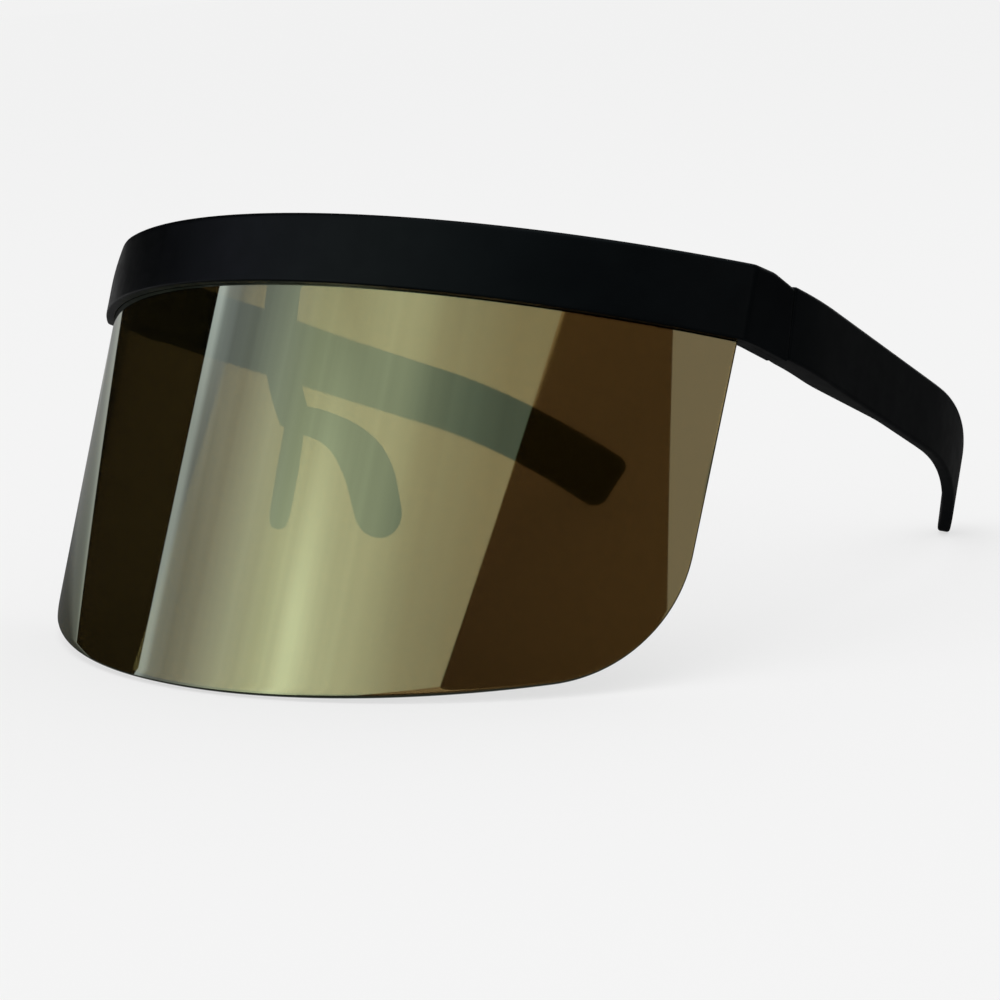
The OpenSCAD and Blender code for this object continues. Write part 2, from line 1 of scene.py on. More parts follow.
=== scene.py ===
"""Shield sunglasses: the visible pieces, their finishes, and the studio around them.

Sizes are in millimetres and places are first given as worn: the origin is the top front edge of
the brow bar in its middle, +X the wearer's left, +Y backwards and +Z up. Rest lays them back on
their rest and turns them into metres in the shared frame.
"""

from __future__ import annotations

import logging
import math
from collections.abc import Callable
from dataclasses import dataclass, field
from enum import Enum

import bmesh
import bpy
import numpy as np
from bpy.types import ID, Material, Mesh, Node, NodeOutputs, NodeSocket, Object
from mathutils import Matrix

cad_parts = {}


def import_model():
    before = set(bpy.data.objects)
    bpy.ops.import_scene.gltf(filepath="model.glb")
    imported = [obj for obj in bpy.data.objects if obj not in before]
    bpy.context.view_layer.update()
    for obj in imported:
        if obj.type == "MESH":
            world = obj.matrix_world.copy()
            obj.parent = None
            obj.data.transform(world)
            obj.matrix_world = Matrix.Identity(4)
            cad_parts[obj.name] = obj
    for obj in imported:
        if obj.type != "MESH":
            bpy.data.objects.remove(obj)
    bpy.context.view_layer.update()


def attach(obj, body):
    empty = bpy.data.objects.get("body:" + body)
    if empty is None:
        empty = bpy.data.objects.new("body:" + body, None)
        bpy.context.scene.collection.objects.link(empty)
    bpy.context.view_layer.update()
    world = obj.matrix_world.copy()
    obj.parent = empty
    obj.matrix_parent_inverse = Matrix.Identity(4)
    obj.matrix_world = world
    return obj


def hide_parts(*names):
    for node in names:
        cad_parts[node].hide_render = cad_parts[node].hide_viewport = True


LOG = logging.getLogger("shield_sunglasses")
METRE = 0.001
QUARTER = math.pi / 2
SHARP = 34.0
DOUBLE = 2e-6
CLOSE = 1e-7
NOISE_SPREAD = (0.3, 0.7)
Triple = tuple[float, float, float]
Colour = Triple
Range = tuple[float, float]
Stops = tuple[Range, ...]
Waves = tuple[float, ...]
Place = Callable[[np.ndarray, np.ndarray], np.ndarray]
Thickness = Callable[[np.ndarray], np.ndarray]


class Body(Enum):
    """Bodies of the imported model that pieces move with."""

    FRONT = "front"
    LEFT = "left_temple"
    RIGHT = "right_temple"


class Slot(Enum):
    """Material slots of the record."""

    FRAME = "frame_plastic"
    LENS = "lens_tint"
    NOSE = "nose_plastic"
    LEAF = "leaf_steel"
    SCREW = "screw_steel"


class Side(Enum):
    """Sides of the wearer, with the sign of X."""

    LEFT = 1
    RIGHT = -1

    @property
    def word(self) -> str:
        """The side's name in lower case."""
        return self.name.lower()

    @property
    def body(self) -> Body:
        """The body of this side's temple."""
        return Body.LEFT if self is Side.LEFT else Body.RIGHT


@dataclass(frozen=True)
class Rest:
    """How the worn glasses are laid back to stand on the lens and both temple tips."""

    tilt: float = math.radians(22.085810448)
    middle: float = 53.627502091
    lift: float = 77.669616121

    def to_row(self, points: np.ndarray) -> np.ndarray:
        """Turn worn places in millimetres into places in metres in the shared frame.

        Args:
            points: Places of shape (..., 3) as worn.

        Returns:
            The same places tilted back by the rest's angle, centred and lifted, in metres.
        """
        x, y, z = np.moveaxis(np.asarray(points, float), -1, 0)
        cos, sin = math.cos(self.tilt), math.sin(self.tilt)
        row = np.stack([x, y * cos + z * sin - self.middle, z * cos - y * sin + self.lift], -1)
        return row * METRE


REST = Rest()


# ---------------------------------------------------------------- meshes


@dataclass
class MeshMaker:
    """Collects grids and polygons of worn places and makes one closed piece of them."""

    points: list[np.ndarray] = field(default_factory=list)
    faces: list[list[int]] = field(default_factory=list)
    marks: list[int] = field(default_factory=list)
    count: int = 0

    def add(self, points: np.ndarray, faces: np.ndarray, mark: int = 0) -> None:
        """Add places and the faces between them.

        Args:
            points: Places of shape (n, 3).
            faces: Corner numbers of shape (k, corners).
            mark: Material index of the faces.
        """
        self.points.append(np.asarray(points, float).reshape(-1, 3))
        self.faces.extend((np.asarray(faces) + self.count).tolist())
        self.marks.extend([mark] * len(faces))
        self.count += len(self.points[-1])

    def add_grid(self, grid: np.ndarray, closed: bool = False, mark: int = 0) -> None:
        """Add a grid of places, with a quad between each four neighbours.

        Args:
            grid: Places of shape (rows, columns, 3).
            closed: True where the last column joins the first.
            mark: Material index of the faces.
        """
        rows, columns = grid.shape[:2]
        numbers = np.arange(rows * columns).reshape(rows, columns)
        right = np.roll(numbers, -1, 1) if closed else numbers[:, 1:]
        left = numbers if closed else numbers[:, :-1]
        quads = np.stack([left[:-1], right[:-1], right[1:], left[1:]], -1).reshape(-1, 4)
        self.add(grid, quads, mark)

    def add_cap(self, ring: np.ndarray, mark: int = 0) -> None:
        """Close a ring of places with one flat polygon.

        Args:
            ring: Places of shape (n, 3).
            mark: Material index of the face.
        """
        self.add(ring, np.arange(len(ring))[None], mark)

    def add_body(self, rings: np.ndarray) -> None:
        """Add a body that is carried through closed rings, with a cap on each end.

        Args:
            rings: Places of shape (rings, places, 3).
        """
        self.add_grid(rings, closed=True)
        self.add_cap(rings[0])
        self.add_cap(rings[-1])

    def piece(self, name: str, flip_x: bool = False, sharp: float = SHARP) -> Object:
        """Make the piece: join equal places, turn the faces outwards and smooth them.

        Args:
            name: Name of the piece.
            flip_x: True to mirror the piece to the wearer's other side.
            sharp: Angle in degrees above which an edge stays sharp.

        Returns:
            The new object at the origin, with its place in its mesh.
        """
        points = np.concatenate(self.points)
        if flip_x:
            points = points * [-1, 1, 1]
        mesh = bpy.data.meshes.new(name)
        mesh.from_pydata(REST.to_row(points).tolist(), [], self.faces)
        mesh.polygons.foreach_set("material_index", np.array(self.marks, np.int32))
        tidy(mesh, sharp)
        return placed(name, mesh)


def placed(name: str, data: ID) -> Object:
    """Put a new object with this data into the scene.

    Args:
        name: Name of the object.
        data: Its mesh, light or camera.

    Returns:
        The new object, at the origin.
    """
    item = bpy.data.objects.new(name, data)
    bpy.context.scene.collection.objects.link(item)
    return item


def tidy(mesh: Mesh, sharp: float, reach: float = DOUBLE) -> None:
    """Join doubles, drop empty faces, turn the rest outwards and shade them smooth.

    Args:
        mesh: Mesh to work on.
        sharp: Angle in degrees above which an edge stays sharp.
        reach: Distance in metres within which two places are one.
    """
    work = bmesh.new()
    work.from_mesh(mesh)
    bmesh.ops.remove_doubles(work, verts=work.verts, dist=reach)
    bmesh.ops.dissolve_degenerate(work, edges=work.edges, dist=reach / 4)
    bmesh.ops.recalc_face_normals(work, faces=work.faces)
    work.to_mesh(mesh)
    work.free()
    mesh.polygons.foreach_set("use_smooth", np.ones(len(mesh.polygons), bool))
    mesh.set_sharp_from_angle(angle=math.radians(sharp))
    mesh.update()


def applied(piece: Object) -> Object:
    """Make the piece's modifiers part of its mesh.

    Args:
        piece: Object with modifiers.

    Returns:
        The same object, with the changed mesh and no modifiers.
    """
    graph = bpy.context.evaluated_depsgraph_get()
    mesh = bpy.data.meshes.new_from_object(piece.evaluated_get(graph))
    piece.modifiers.clear()
    piece.data = mesh
    mesh.name = piece.name
    return piece


def cut(piece: Object, cutters: list[Object], sharp: float = SHARP) -> None:
    """Take the cutters' bodies away from the piece, and the cutters away from the scene.

    Args:
        piece: Object that loses material.
        cutters: Closed objects that say where.
        sharp: Angle in degrees above which an edge stays sharp.
    """
    for cutter in cutters:
        boolean = piece.modifiers.new("cut", "BOOLEAN")
        boolean.operation = "DIFFERENCE"
        boolean.solver = "EXACT"
        boolean.object = cutter
    applied(piece)
    tidy(piece.data, sharp)
    for cutter in cutters:
        bpy.data.objects.remove(cutter)


def arc(middle: tuple[float, float], radius: float, start: float, end: float,
        steps: int) -> np.ndarray:
    """Points on an arc; angles are in degrees from the second axis towards the first.

    Args:
        middle: Centre of the arc.
        radius: Its radius.
        start: First angle.
        end: Last angle.
        steps: Number of steps between them.

    Returns:
        Places of shape (steps + 1, 2).
    """
    turn = np.radians(np.linspace(start, end, steps + 1))
    return np.asarray(middle) + radius * np.stack([np.sin(turn), np.cos(turn)], -1)


def line(start: np.ndarray, end: np.ndarray, steps: int) -> np.ndarray:
    """Points between two places, without either of them."""
    share = np.linspace(0, 1, steps + 1)[1:-1, None]
    return start * (1 - share) + end * share


def rolled(flat: np.ndarray, depth: np.ndarray, face_r: float, bow_r: float) -> np.ndarray:
    """Roll flat places round the bow at a depth behind a round face.

    Args:
        flat: Places across and down, of shape (..., 2).
        depth: Depths behind the face.
        face_r: Radius of the face.
        bow_r: Radius of the bar's bow, which shares its middle.

    Returns:
        Worn places of shape (..., 3).
    """
    angle, radius = flat[..., 0] / face_r, face_r - depth
    return np.stack([radius * np.sin(angle), bow_r - radius * np.cos(angle), -flat[..., 1]], -1)


@dataclass
class Outline:
    """Four sides of a flat shape: top and bottom run front to rear, the ends top to bottom."""

    top: np.ndarray
    bottom: np.ndarray
    front: np.ndarray
    rear: np.ndarray

    def loop(self) -> np.ndarray:
        """The outline as one closed loop of places."""
        return np.concatenate(
            [self.top, self.rear[1:], self.bottom[-2::-1], self.front[-2:0:-1]])

    def inset(self, depth: float) -> Outline:
        """Move every side inwards by the same depth, with mitred corners.

        Args:
            depth: Distance inwards.

        Returns:
            The smaller outline, with the same number of points.
        """
        loop = self.loop()
        ahead = np.roll(loop, -1, 0) - loop
        ahead /= np.linalg.norm(ahead, axis=1)[:, None]
        behind = np.roll(ahead, 1, 0)
        area = np.sum(loop[:, 0] * np.roll(loop[:, 1], -1) - np.roll(loop[:, 0], -1) * loop[:, 1])
        inwards = np.stack([-(ahead + behind)[:, 1], (ahead + behind)[:, 0]], -1) * np.sign(area)
        inwards /= (1 + np.sum(ahead * behind, 1))[:, None]
        return self.split(loop + depth * inwards)

    def split(self, loop: np.ndarray) -> Outline:
        """Divide a loop with this outline's numbers of points into four sides.

        Args:
            loop: Places in the order of loop().

        Returns:
            The outline that they form.
        """
        wide, high = len(self.top) - 1, len(self.front) - 1
        bottom = loop[wide + high:2 * wide + high + 1][::-1]
        front = np.concatenate([loop[2 * wide + high:], loop[:1]])[::-1]
        return Outline(loop[:wide + 1], bottom, front, loop[wide:wide + high + 1])

    def fill(self) -> np.ndarray:
        """Fill the outline with a grid.

        A place is the blend of the two points across it on top and bottom, plus the blend of the
        two on the ends, less the blend of the four corners.

        Returns:
            Places of shape (wide, high, 2).
        """
        u = np.linspace(0, 1, len(self.top))[:, None, None]
        v = np.linspace(0, 1, len(self.front))[None, :, None]
        sides = (1 - v) * self.top[:, None] + v * self.bottom[:, None]
        ends = (1 - u) * self.front[None] + u * self.rear[None]
        corners = ((1 - u) * (1 - v) * self.top[0] + u * (1 - v) * self.top[-1]
                   + (1 - u) * v * self.bottom[0] + u * v * self.bottom[-1])
        return sides + ends - corners


def add_slab(maker: MeshMaker, outline: Outline, place: Place, thickness: Thickness,
             edge: float, steps: int = 5, rim_mark: int = 0) -> None:
    """Add a closed plate with rounded edges, drawn from a flat outline.

    The rim runs round a quarter circle from the outer face, straight through the thickness and
    round a second quarter circle to the inner face; both faces are filled outlines.

    Args:
        maker: Collects the plate.
        outline: Edge of the plate, seen square on.
        place: Function of flat places and depths that gives worn places.
        thickness: Function of flat places that gives the plate's thickness there.
        edge: Radius of the rounded edges.
        steps: Steps round each quarter circle.
        rim_mark: Material index of the rim.
    """
    turn = np.linspace(0, QUARTER, steps + 1)
    insets = edge * (1 - np.sin(turn))
    depths = edge * (1 - np.cos(turn))
    insets = np.concatenate([insets, insets[::-1]])
    through = np.concatenate([np.zeros(steps + 1), np.ones(steps + 1)])
    depths = np.concatenate([depths, -depths[::-1]])
    loops = [outline.inset(inset).loop() for inset in insets]
    rings = [place(loop, share * thickness(loop) + depth)
             for loop, share, depth in zip(loops, through, depths)]
    maker.add_grid(np.stack(rings), closed=True, mark=rim_mark)
    inner = outline.inset(edge).fill()
    maker.add_grid(place(inner, np.zeros(inner.shape[:-1])))
    maker.add_grid(place(inner, thickness(inner)))


# ---------------------------------------------------------------- finishes


class NodeTree:
    """Node tree of one material, with short calls to add nodes and join them."""

    def __init__(self, name: str) -> None:
        """Start a material with nothing but its output.

        Args:
            name: Name of the material.
        """
        self.material = bpy.data.materials.new(name)
        self.material.use_nodes = True
        self.nodes = self.material.node_tree.nodes
        self.links = self.material.node_tree.links
        self.nodes.clear()
        self.output = self.nodes.new("ShaderNodeOutputMaterial")

    def join(self, start: NodeSocket, end: NodeSocket) -> None:
        """Link an output to an input."""
        self.links.new(start, end)

    def feed(self, socket: NodeSocket, value: object) -> None:
        """Link an output to an input, or set the input to a plain value.

        Args:
            socket: The input.
            value: Another node's output, or the value.
        """
        if isinstance(value, NodeSocket):
            self.join(value, socket)
        else:
            socket.default_value = value

    def node(self, kind: str, **sockets: object) -> Node:
        """Add a node, and set or link its sockets by name.

        Args:
            kind: Node type without its ShaderNode prefix.
            sockets: For each socket a value, or another node's output.

        Returns:
            The new node.
        """
        node = self.nodes.new("ShaderNode" + kind)
        for name, value in sockets.items():
            self.feed(node.inputs[name.replace("_", " ")], value)
        return node

    def place(self, stretch: Triple = (1, 1, 1)) -> NodeSocket:
        """Object coordinates, stretched along each axis."""
        return self.node("Mapping", Vector=self.node("TexCoord").outputs["Object"],
                         Scale=stretch).outputs["Vector"]

    def axes(self) -> NodeOutputs:
        """Object coordinates, as the outputs X, Y and Z."""
        return self.node("SeparateXYZ", Vector=self.place()).outputs

    def math(self, operation: str, *values: NodeSocket | float) -> NodeSocket:
        """Do one sum on values.

        Args:
            operation: Name of the Math node's operation.
            values: Numbers or outputs, in the order of its inputs.

        Returns:
            The result.
        """
        node = self.nodes.new("ShaderNodeMath")
        node.operation = operation
        for socket, value in zip(node.inputs, values):
            self.feed(socket, value)
        return node.outputs[0]

    def span(self, source: NodeSocket, start: Range, end: Range = (0, 1)) -> NodeSocket:
        """Map one range of a value to another, and hold it at the ends."""
        return self.node("MapRange", Value=source, From_Min=start[0], From_Max=start[1],
                         To_Min=end[0], To_Max=end[1]).outputs["Result"]

    def profile(self, source: NodeSocket, stops: Stops) -> NodeSocket:
        """Follow straight lines between stops.

        Args:
            source: Value that runs along the stops.
            stops: Places along it in rising order, and the level at each.

        Returns:
            The level at the value.
        """
        start, end = stops[0][0], stops[-1][0]
        most = max(level for _, level in stops)
        ramp = self.node("ValToRGB", Fac=self.span(source, (start, end)))
        elements = ramp.color_ramp.elements
        while len(elements) < len(stops):
            elements.new(0.5)
        for element, (at, level) in zip(elements, stops):
            element.position = (at - start) / (end - start)
            element.color = (level / most,) * 3 + (1,)
        return self.math("MULTIPLY", ramp.outputs["Color"], most)

    def noise(self, scale: float, detail: float, roughness: float = 0.5,
              stretch: Triple = (1, 1, 1)) -> NodeSocket:
        """Noise on Object coordinates.

        Args:
            scale: Waves per metre.
            detail: Octaves.
            roughness: Strength of the finer octaves.
            stretch: Scale along each axis.

        Returns:
            The noise, spread to run from 0 to 1.
        """
        noise = self.node("TexNoise", Vector=self.place(stretch), Scale=scale, Detail=detail,
                          Roughness=roughness)
        return self.span(noise.outputs["Fac"], NOISE_SPREAD)

    def tone(self, share: NodeSocket, low: Colour, high: Colour) -> NodeSocket:
        """Blend two colours by a value.

        Args:
            share: 0 for the low colour, 1 for the high one.
            low: A colour, or another node's output.
            high: A colour, or another node's output.

        Returns:
            The blended colour.
        """
        mix = self.node("Mix", Factor=share)
        mix.data_type = "RGBA"
        for socket, value in zip(mix.inputs[6:8], (low, high)):
            self.feed(socket, (*value, 1) if isinstance(value, tuple) else value)
        return mix.outputs[2]


class Shader(NodeTree):
    """Node tree round a Principled shader."""

    def __init__(self, name: str, **sockets: object) -> None:
        """Start the material and set the sockets that are the same all over the surface.

        Args:
            name: Name of the material.
            sockets: Values of the shader's own sockets.
        """
        super().__init__(name)
        self.surface = self.node("BsdfPrincipled", **sockets)
        self.join(self.surface.outputs["BSDF"], self.output.inputs["Surface"])

    def bump(self, source: NodeSocket, height: float,
             below: NodeSocket | None = None) -> NodeSocket:
        """Raise the surface by a value.

        Args:
            source: Value between 0 and 1.
            height: Height in metres.
            below: Normal of a coarser bump under it.

        Returns:
            The bumped normal.
        """
        bump = self.node("Bump", Strength=1.0, Distance=height, Height=source)
        if below is not None:
            self.join(below, bump.inputs["Normal"])
        return bump.outputs["Normal"]

    def finish(self, **sockets: NodeSocket) -> Material:
        """Join outputs to the shader's sockets.

        Args:
            sockets: For each socket another node's output.

        Returns:
            The finished material.
        """
        for name, source in sockets.items():
            self.join(source, self.surface.inputs[name.replace("_", " ")])
        return self.material


class Shine(NodeTree):
    """Node tree of a material that shines: a lamp's cloth, a card or a painted backdrop."""

    def __init__(self, name: str, colour: Colour = (1, 1, 1),
                 strength: NodeSocket | float = 1.0) -> None:
        """Start the material with an Emission node on its output.

        Args:
            name: Name of the material.
            colour: Its colour.
            strength: Its strength.
        """
        super().__init__(name)
        self.glow = self.node("Emission", Color=(*colour, 1), Strength=strength)
        self.join(self.glow.outputs["Emission"], self.output.inputs["Surface"])

    def strength(self, source: NodeSocket) -> Material:
        """Let a value drive the strength, and hand over the material."""
        self.join(source, self.glow.inputs["Strength"])
        return self.material


@dataclass(frozen=True)
class MouldedPlastic:
    """Satin black moulded plastic with a fine grain and a little unevenness.

    Each set of waves gives a noise's scale, its octaves and, where that isn't the usual half,
    the strength of the finer ones.
    """

    name: str
    dark: Colour
    light: Colour
    roughness: Range
    specular: float
    tint: Colour
    ior: float = 1.5
    patches: Waves = (90.0, 3.0)
    handling: Waves = (300.0, 4.0)
    swell: Waves = (120.0, 1.0)
    swell_height: float = 4e-5
    grain: Waves = (4200.0, 2.0, 0.6)
    grain_height: float = 3e-6

    def material(self) -> Material:
        """Build the node material.

        Returns:
            The finish.
        """
        shader = Shader(self.name, Specular_IOR_Level=self.specular,
                        Specular_Tint=(*self.tint, 1), IOR=self.ior)
        cloud = shader.noise(*self.patches)
        handled = shader.span(shader.noise(*self.handling), (0, 1), self.roughness)
        wave = shader.bump(shader.noise(*self.swell), self.swell_height)
        grain = shader.bump(shader.noise(*self.grain), self.grain_height, wave)
        return shader.finish(Base_Color=shader.tone(cloud, self.dark, self.light),
                             Roughness=handled, Normal=grain)


@dataclass(frozen=True)
class TintedLens:
    """Brown-tinted clear plastic with a gold mirror coat.

    The tint is painted a little paler towards the top and the sides, as painted light for the
    brighter surroundings seen through the lens there, and the glass looks darker at a glancing
    angle, where the light's way through it is longer and the coat lets less of it in.
    """

    name: str = "gold mirror lens"
    # low is the tint at the bottom; high is the paler tint higher up, which is painted light
    low: Colour = (0.047, 0.0265, 0.0076)
    high: Colour = (0.072, 0.0395, 0.0096)
    glancing: Colour = (0.0068, 0.0060, 0.0014)
    height: Range = (0.012, 0.07)
    side: Range = (0.045, 0.08)
    painted_light_side_share: float = 0.9
    mirror: Colour = (0.80, 1.0, 0.66)
    ior: float = 2.7
    clouds: Waves = (14.0, 2.0)
    cloud_stretch: Triple = (1.0, 1.0, 0.25)
    cloud_share: float = 0.12
    slant: Range = (0.06, 0.45)
    smears: Waves = (60.0, 2.0)
    roughness: Range = (0.012, 0.026)

    def material(self) -> Material:
        """Build the node material.

        Returns:
            The finish.
        """
        shader = Shader(self.name, Transmission_Weight=1.0, IOR=self.ior,
                        Specular_Tint=(*self.mirror, 1))
        axes = shader.axes()
        # Painted light: the tint turns paler towards the top and the sides, for the brighter
        # surroundings seen through there
        pale = shader.math("MAXIMUM", shader.span(axes["Z"], self.height), shader.span(
            shader.math("ABSOLUTE", axes["X"]), self.side, (0.0, self.painted_light_side_share)))
        cloud = shader.span(shader.noise(*self.clouds, stretch=self.cloud_stretch), (0, 1),
                            (0, self.cloud_share))
        tint = shader.tone(cloud, shader.tone(pale, self.low, self.high), self.glancing)
        facing = shader.node("LayerWeight", Blend=0.5).outputs["Facing"]
        return shader.finish(
            Base_Color=shader.tone(shader.span(facing, self.slant), tint, self.glancing),
            Roughness=shader.span(shader.noise(*self.smears), (0, 1), self.roughness))


@dataclass(frozen=True)
class PaintedLitLensEdge:
    """Polished rim of the lens, painted pale: painted light for the light that the lens carries to
    it.
    """

    name: str = "lens edge painted lit"
    # Painted light: pale cream colours that stand in for the light carried through the lens to its
    # rim
    colour: Colour = (0.82, 0.78, 0.62)
    pale: Colour = (0.92, 0.88, 0.70)
    patches: Waves = (120.0, 2.0)
    polish: Waves = (900.0, 2.0)
    roughness: Range = (0.2, 0.3)

    def material(self) -> Material:
        """Build the node material.

        Returns:
            The finish.
        """
        shader = Shader(self.name)
        return shader.finish(
            Base_Color=shader.tone(shader.noise(*self.patches), self.colour, self.pale),
            Roughness=shader.span(shader.noise(*self.polish), (0, 1), self.roughness))


@dataclass(frozen=True)
class Steel:
    """Bare steel with fine brushing and worn, slightly darker patches."""

    name: str
    worn: Colour
    clean: Colour
    roughness: Range
    brush_height: float
    brushing: Waves = (2500.0, 3.0)
    brush_stretch: Triple = (1.0, 0.12, 1.0)
    patches: Waves = (700.0, 3.0)

    def material(self) -> Material:
        """Build the node material.

        Returns:
            The finish.
        """
        shader = Shader(self.name, Metallic=1.0)
        brushed = shader.noise(*self.brushing, stretch=self.brush_stretch)
        return shader.finish(
            Base_Color=shader.tone(shader.noise(*self.patches), self.worn, self.clean),
            Roughness=shader.span(brushed, (0, 1), self.roughness),
            Normal=shader.bump(brushed, self.brush_height))


@dataclass
class Finishes:
    """Every finish of the object, built once."""

    frame: Material = field(default_factory=lambda: MouldedPlastic(
        "satin black frame", dark=(0.0014, 0.0016, 0.0019), light=(0.0022, 0.0026, 0.003),
        roughness=(0.34, 0.42), specular=0.09, tint=(0.62, 0.88, 1.0)).material())
    nose: Material = field(default_factory=lambda: MouldedPlastic(
        "black nose plastic", dark=(0.002, 0.0024, 0.0026), light=(0.0034, 0.0038, 0.0042),
        roughness=(0.3, 0.4), specular=0.3, tint=(0.85, 0.95, 1.0)).material())
    lens: Material = field(default_factory=lambda: TintedLens().material())
    # The lens rim's pale colour is painted light
    edge: Material = field(default_factory=lambda: PaintedLitLensEdge().material())
    leaf: Material = field(default_factory=lambda: Steel(
        "brushed hinge steel", worn=(0.46, 0.455, 0.445), clean=(0.62, 0.615, 0.6),
        roughness=(0.26, 0.42), brush_height=4e-6).material())
    screw: Material = field(default_factory=lambda: Steel(
        "bright screw steel", worn=(0.56, 0.555, 0.54), clean=(0.76, 0.75, 0.73),
        roughness=(0.16, 0.3), brush_height=2e-6).material())


def dress(piece: Object, body: Body, slot: Slot, materials: list[Material],
          *nodes: str) -> None:
    """Give a piece its body, its materials and the nodes that it stands for.

    Args:
        piece: The piece.
        body: Body that it moves with.
        slot: Slot of the record that its finish belongs to; not used.
        materials: Its materials, in the order of its faces' marks.
        nodes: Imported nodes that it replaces.
    """
    piece.data.materials.clear()
    for material in materials:
        piece.data.materials.append(material)
    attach(piece, body.value)
    if nodes:
        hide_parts(*nodes)
    LOG.info("%s: %d faces on %s", piece.name, len(piece.data.polygons), body.value)


# ---------------------------------------------------------------- pieces


@dataclass
class BrowBar:
    """Brow bar with its two corners and endpieces, in one moulding.

    The groove runs between two depths. The crown says how far in and how far down the outer
    face's top is rounded at the wearer's right end, and its run the angles of the bow between
    which it grows. The end's steps are those of its length and of its broken edges.
    """

    half_w: float = 78.0
    bow_r: float = 108.0
    height: float = 12.1
    flare: float = 0.7
    thick: float = 4.5
    top_round: float = 0.8
    low_round: float = 0.35
    corner_r: float = 2.0
    end_l: float = 11.6
    seam_slope: float = math.tan(math.radians(6))
    seam_gap: float = 0.2
    slope_l: float = 5.5
    end_drop: float = 1.1
    end_flare: float = 0.5
    hinge_drop: float = 6.85
    groove: Range = (1.65, 3.55)
    groove_top: float = 6.3
    groove_lip: float = 0.12
    end_round: float = 0.25
    crown: tuple[float, float] = (1.65, 7.0)
    crown_turn: float = 1.4
    crown_run: Range = (30.0, 43.0)
    margin: float = 0.25
    round_steps: int = 6
    face_points: int = 12
    bow_steps: int = 96
    corner_steps: int = 8
    end_steps: tuple[int, int] = (14, 5)
    seam_rounds: int = 4

    @property
    def corner_y(self) -> float:
        """Place behind the front where the bow's outer face reaches the full width."""
        return self.bow_r - math.sqrt(self.bow_r ** 2 - self.half_w ** 2)

    @property
    def seam_y(self) -> float:
        """Place of the hinge seam behind the front."""
        return self.corner_y + self.end_l

    def section(self) -> tuple[np.ndarray, np.ndarray, np.ndarray, np.ndarray]:
        """Closed section of the bar, as depths inwards and heights from its top or bottom edge.

        Quarter circles round the four edges, with a slot for the lens in the bottom. The outer
        face has points at the steps of the crown's ellipse.

        Returns:
            Depths, heights, shares (0 on the top edge, 1 on the bottom edge), and which points
            are the slot's upper corners.
        """
        top, low, thick = self.top_round, self.low_round, self.thick
        turn = np.linspace(0, QUARTER, self.round_steps + 1)
        rise, run = 1 - np.cos(turn), 1 - np.sin(turn)
        front, back = self.groove
        pad, lip = self.margin, self.groove_lip
        face = np.linspace(0, self.crown_turn, self.face_points)
        parts = [
            (low * run, low * rise, 1, 0),
            ([0.0], [low + pad], 1, 0),
            (0 * face, -self.crown[1] * np.cos(face), 0, 0),
            (top * rise, -top * run, 0, 0),
            ([top + pad, thick - top - pad], [0.0, 0.0], 0, 0),
            (thick - top * run, -top * rise, 0, 0),
            ([thick], [-top - pad], 0, 0),
            ([thick], [low + pad], 1, 0),
            (thick - low * rise, low * run, 1, 0),
            ([back + lip, back], [0.0, lip], 1, 0),
            ([back, front], [0.0, 0.0], 1, 1),
            ([front, front - lip], [lip, 0.0], 1, 0),
        ]
        depth = np.concatenate([np.asarray(part[0], float) for part in parts])
        height = np.concatenate([np.asarray(part[1], float) for part in parts])
        share = np.concatenate([np.full(len(part[0]), float(part[2])) for part in parts])
        slot = np.concatenate([np.full(len(part[0]), float(part[3])) for part in parts])
        return depth, height, share, slot

    def piece(self) -> Object:
        """Carry the section round the bow, the corner and the endpiece on both sides.

        With m the larger of the corner's radius and the depth, the bow ends at the angle whose
        sine is (half width - m) / (bow radius - m), the corner turns about that place with the
        radius m - depth, and the endpiece runs straight back to the leaning seam, where a small
        quarter circle breaks its edges.

        Returns:
            The bar.
        """
        depth, height, share, slot = self.section()
        m = np.maximum(self.corner_r, depth)
        centre_x, radius = self.half_w - m, self.bow_r - m
        bow_end = np.arcsin(centre_x / radius)
        centre_y = self.bow_r - radius * np.cos(bow_end)
        bow = np.linspace(0, 1, self.bow_steps + 1)[:, None] * bow_end
        bow_x = (self.bow_r - depth) * np.sin(bow)
        bow_y = self.bow_r - (self.bow_r - depth) * np.cos(bow)
        turn = np.linspace(0, 1, self.corner_steps + 1)[:, None] * (QUARTER - bow_end) + bow_end
        turn_x = centre_x + (m - depth) * np.sin(turn)
        turn_y = centre_y - (m - depth) * np.cos(turn)
        straight, broken = self.end_steps
        rounding = np.linspace(0, QUARTER, broken + 1)
        plain = np.zeros(straight - 1)
        back = np.concatenate([plain, self.end_round * (1 - np.sin(rounding))])[:, None]
        inset = np.concatenate([plain, self.end_round * (1 - np.cos(rounding))])[:, None]
        ahead = np.linspace(0, 1, straight + 1)[1:straight]
        ahead = np.concatenate([ahead, np.ones(broken + 1)])[:, None]
        end_x = self.half_w - np.clip(depth, inset, self.thick - inset)
        end_y = centre_y + ahead * (self.seam_y - centre_y)
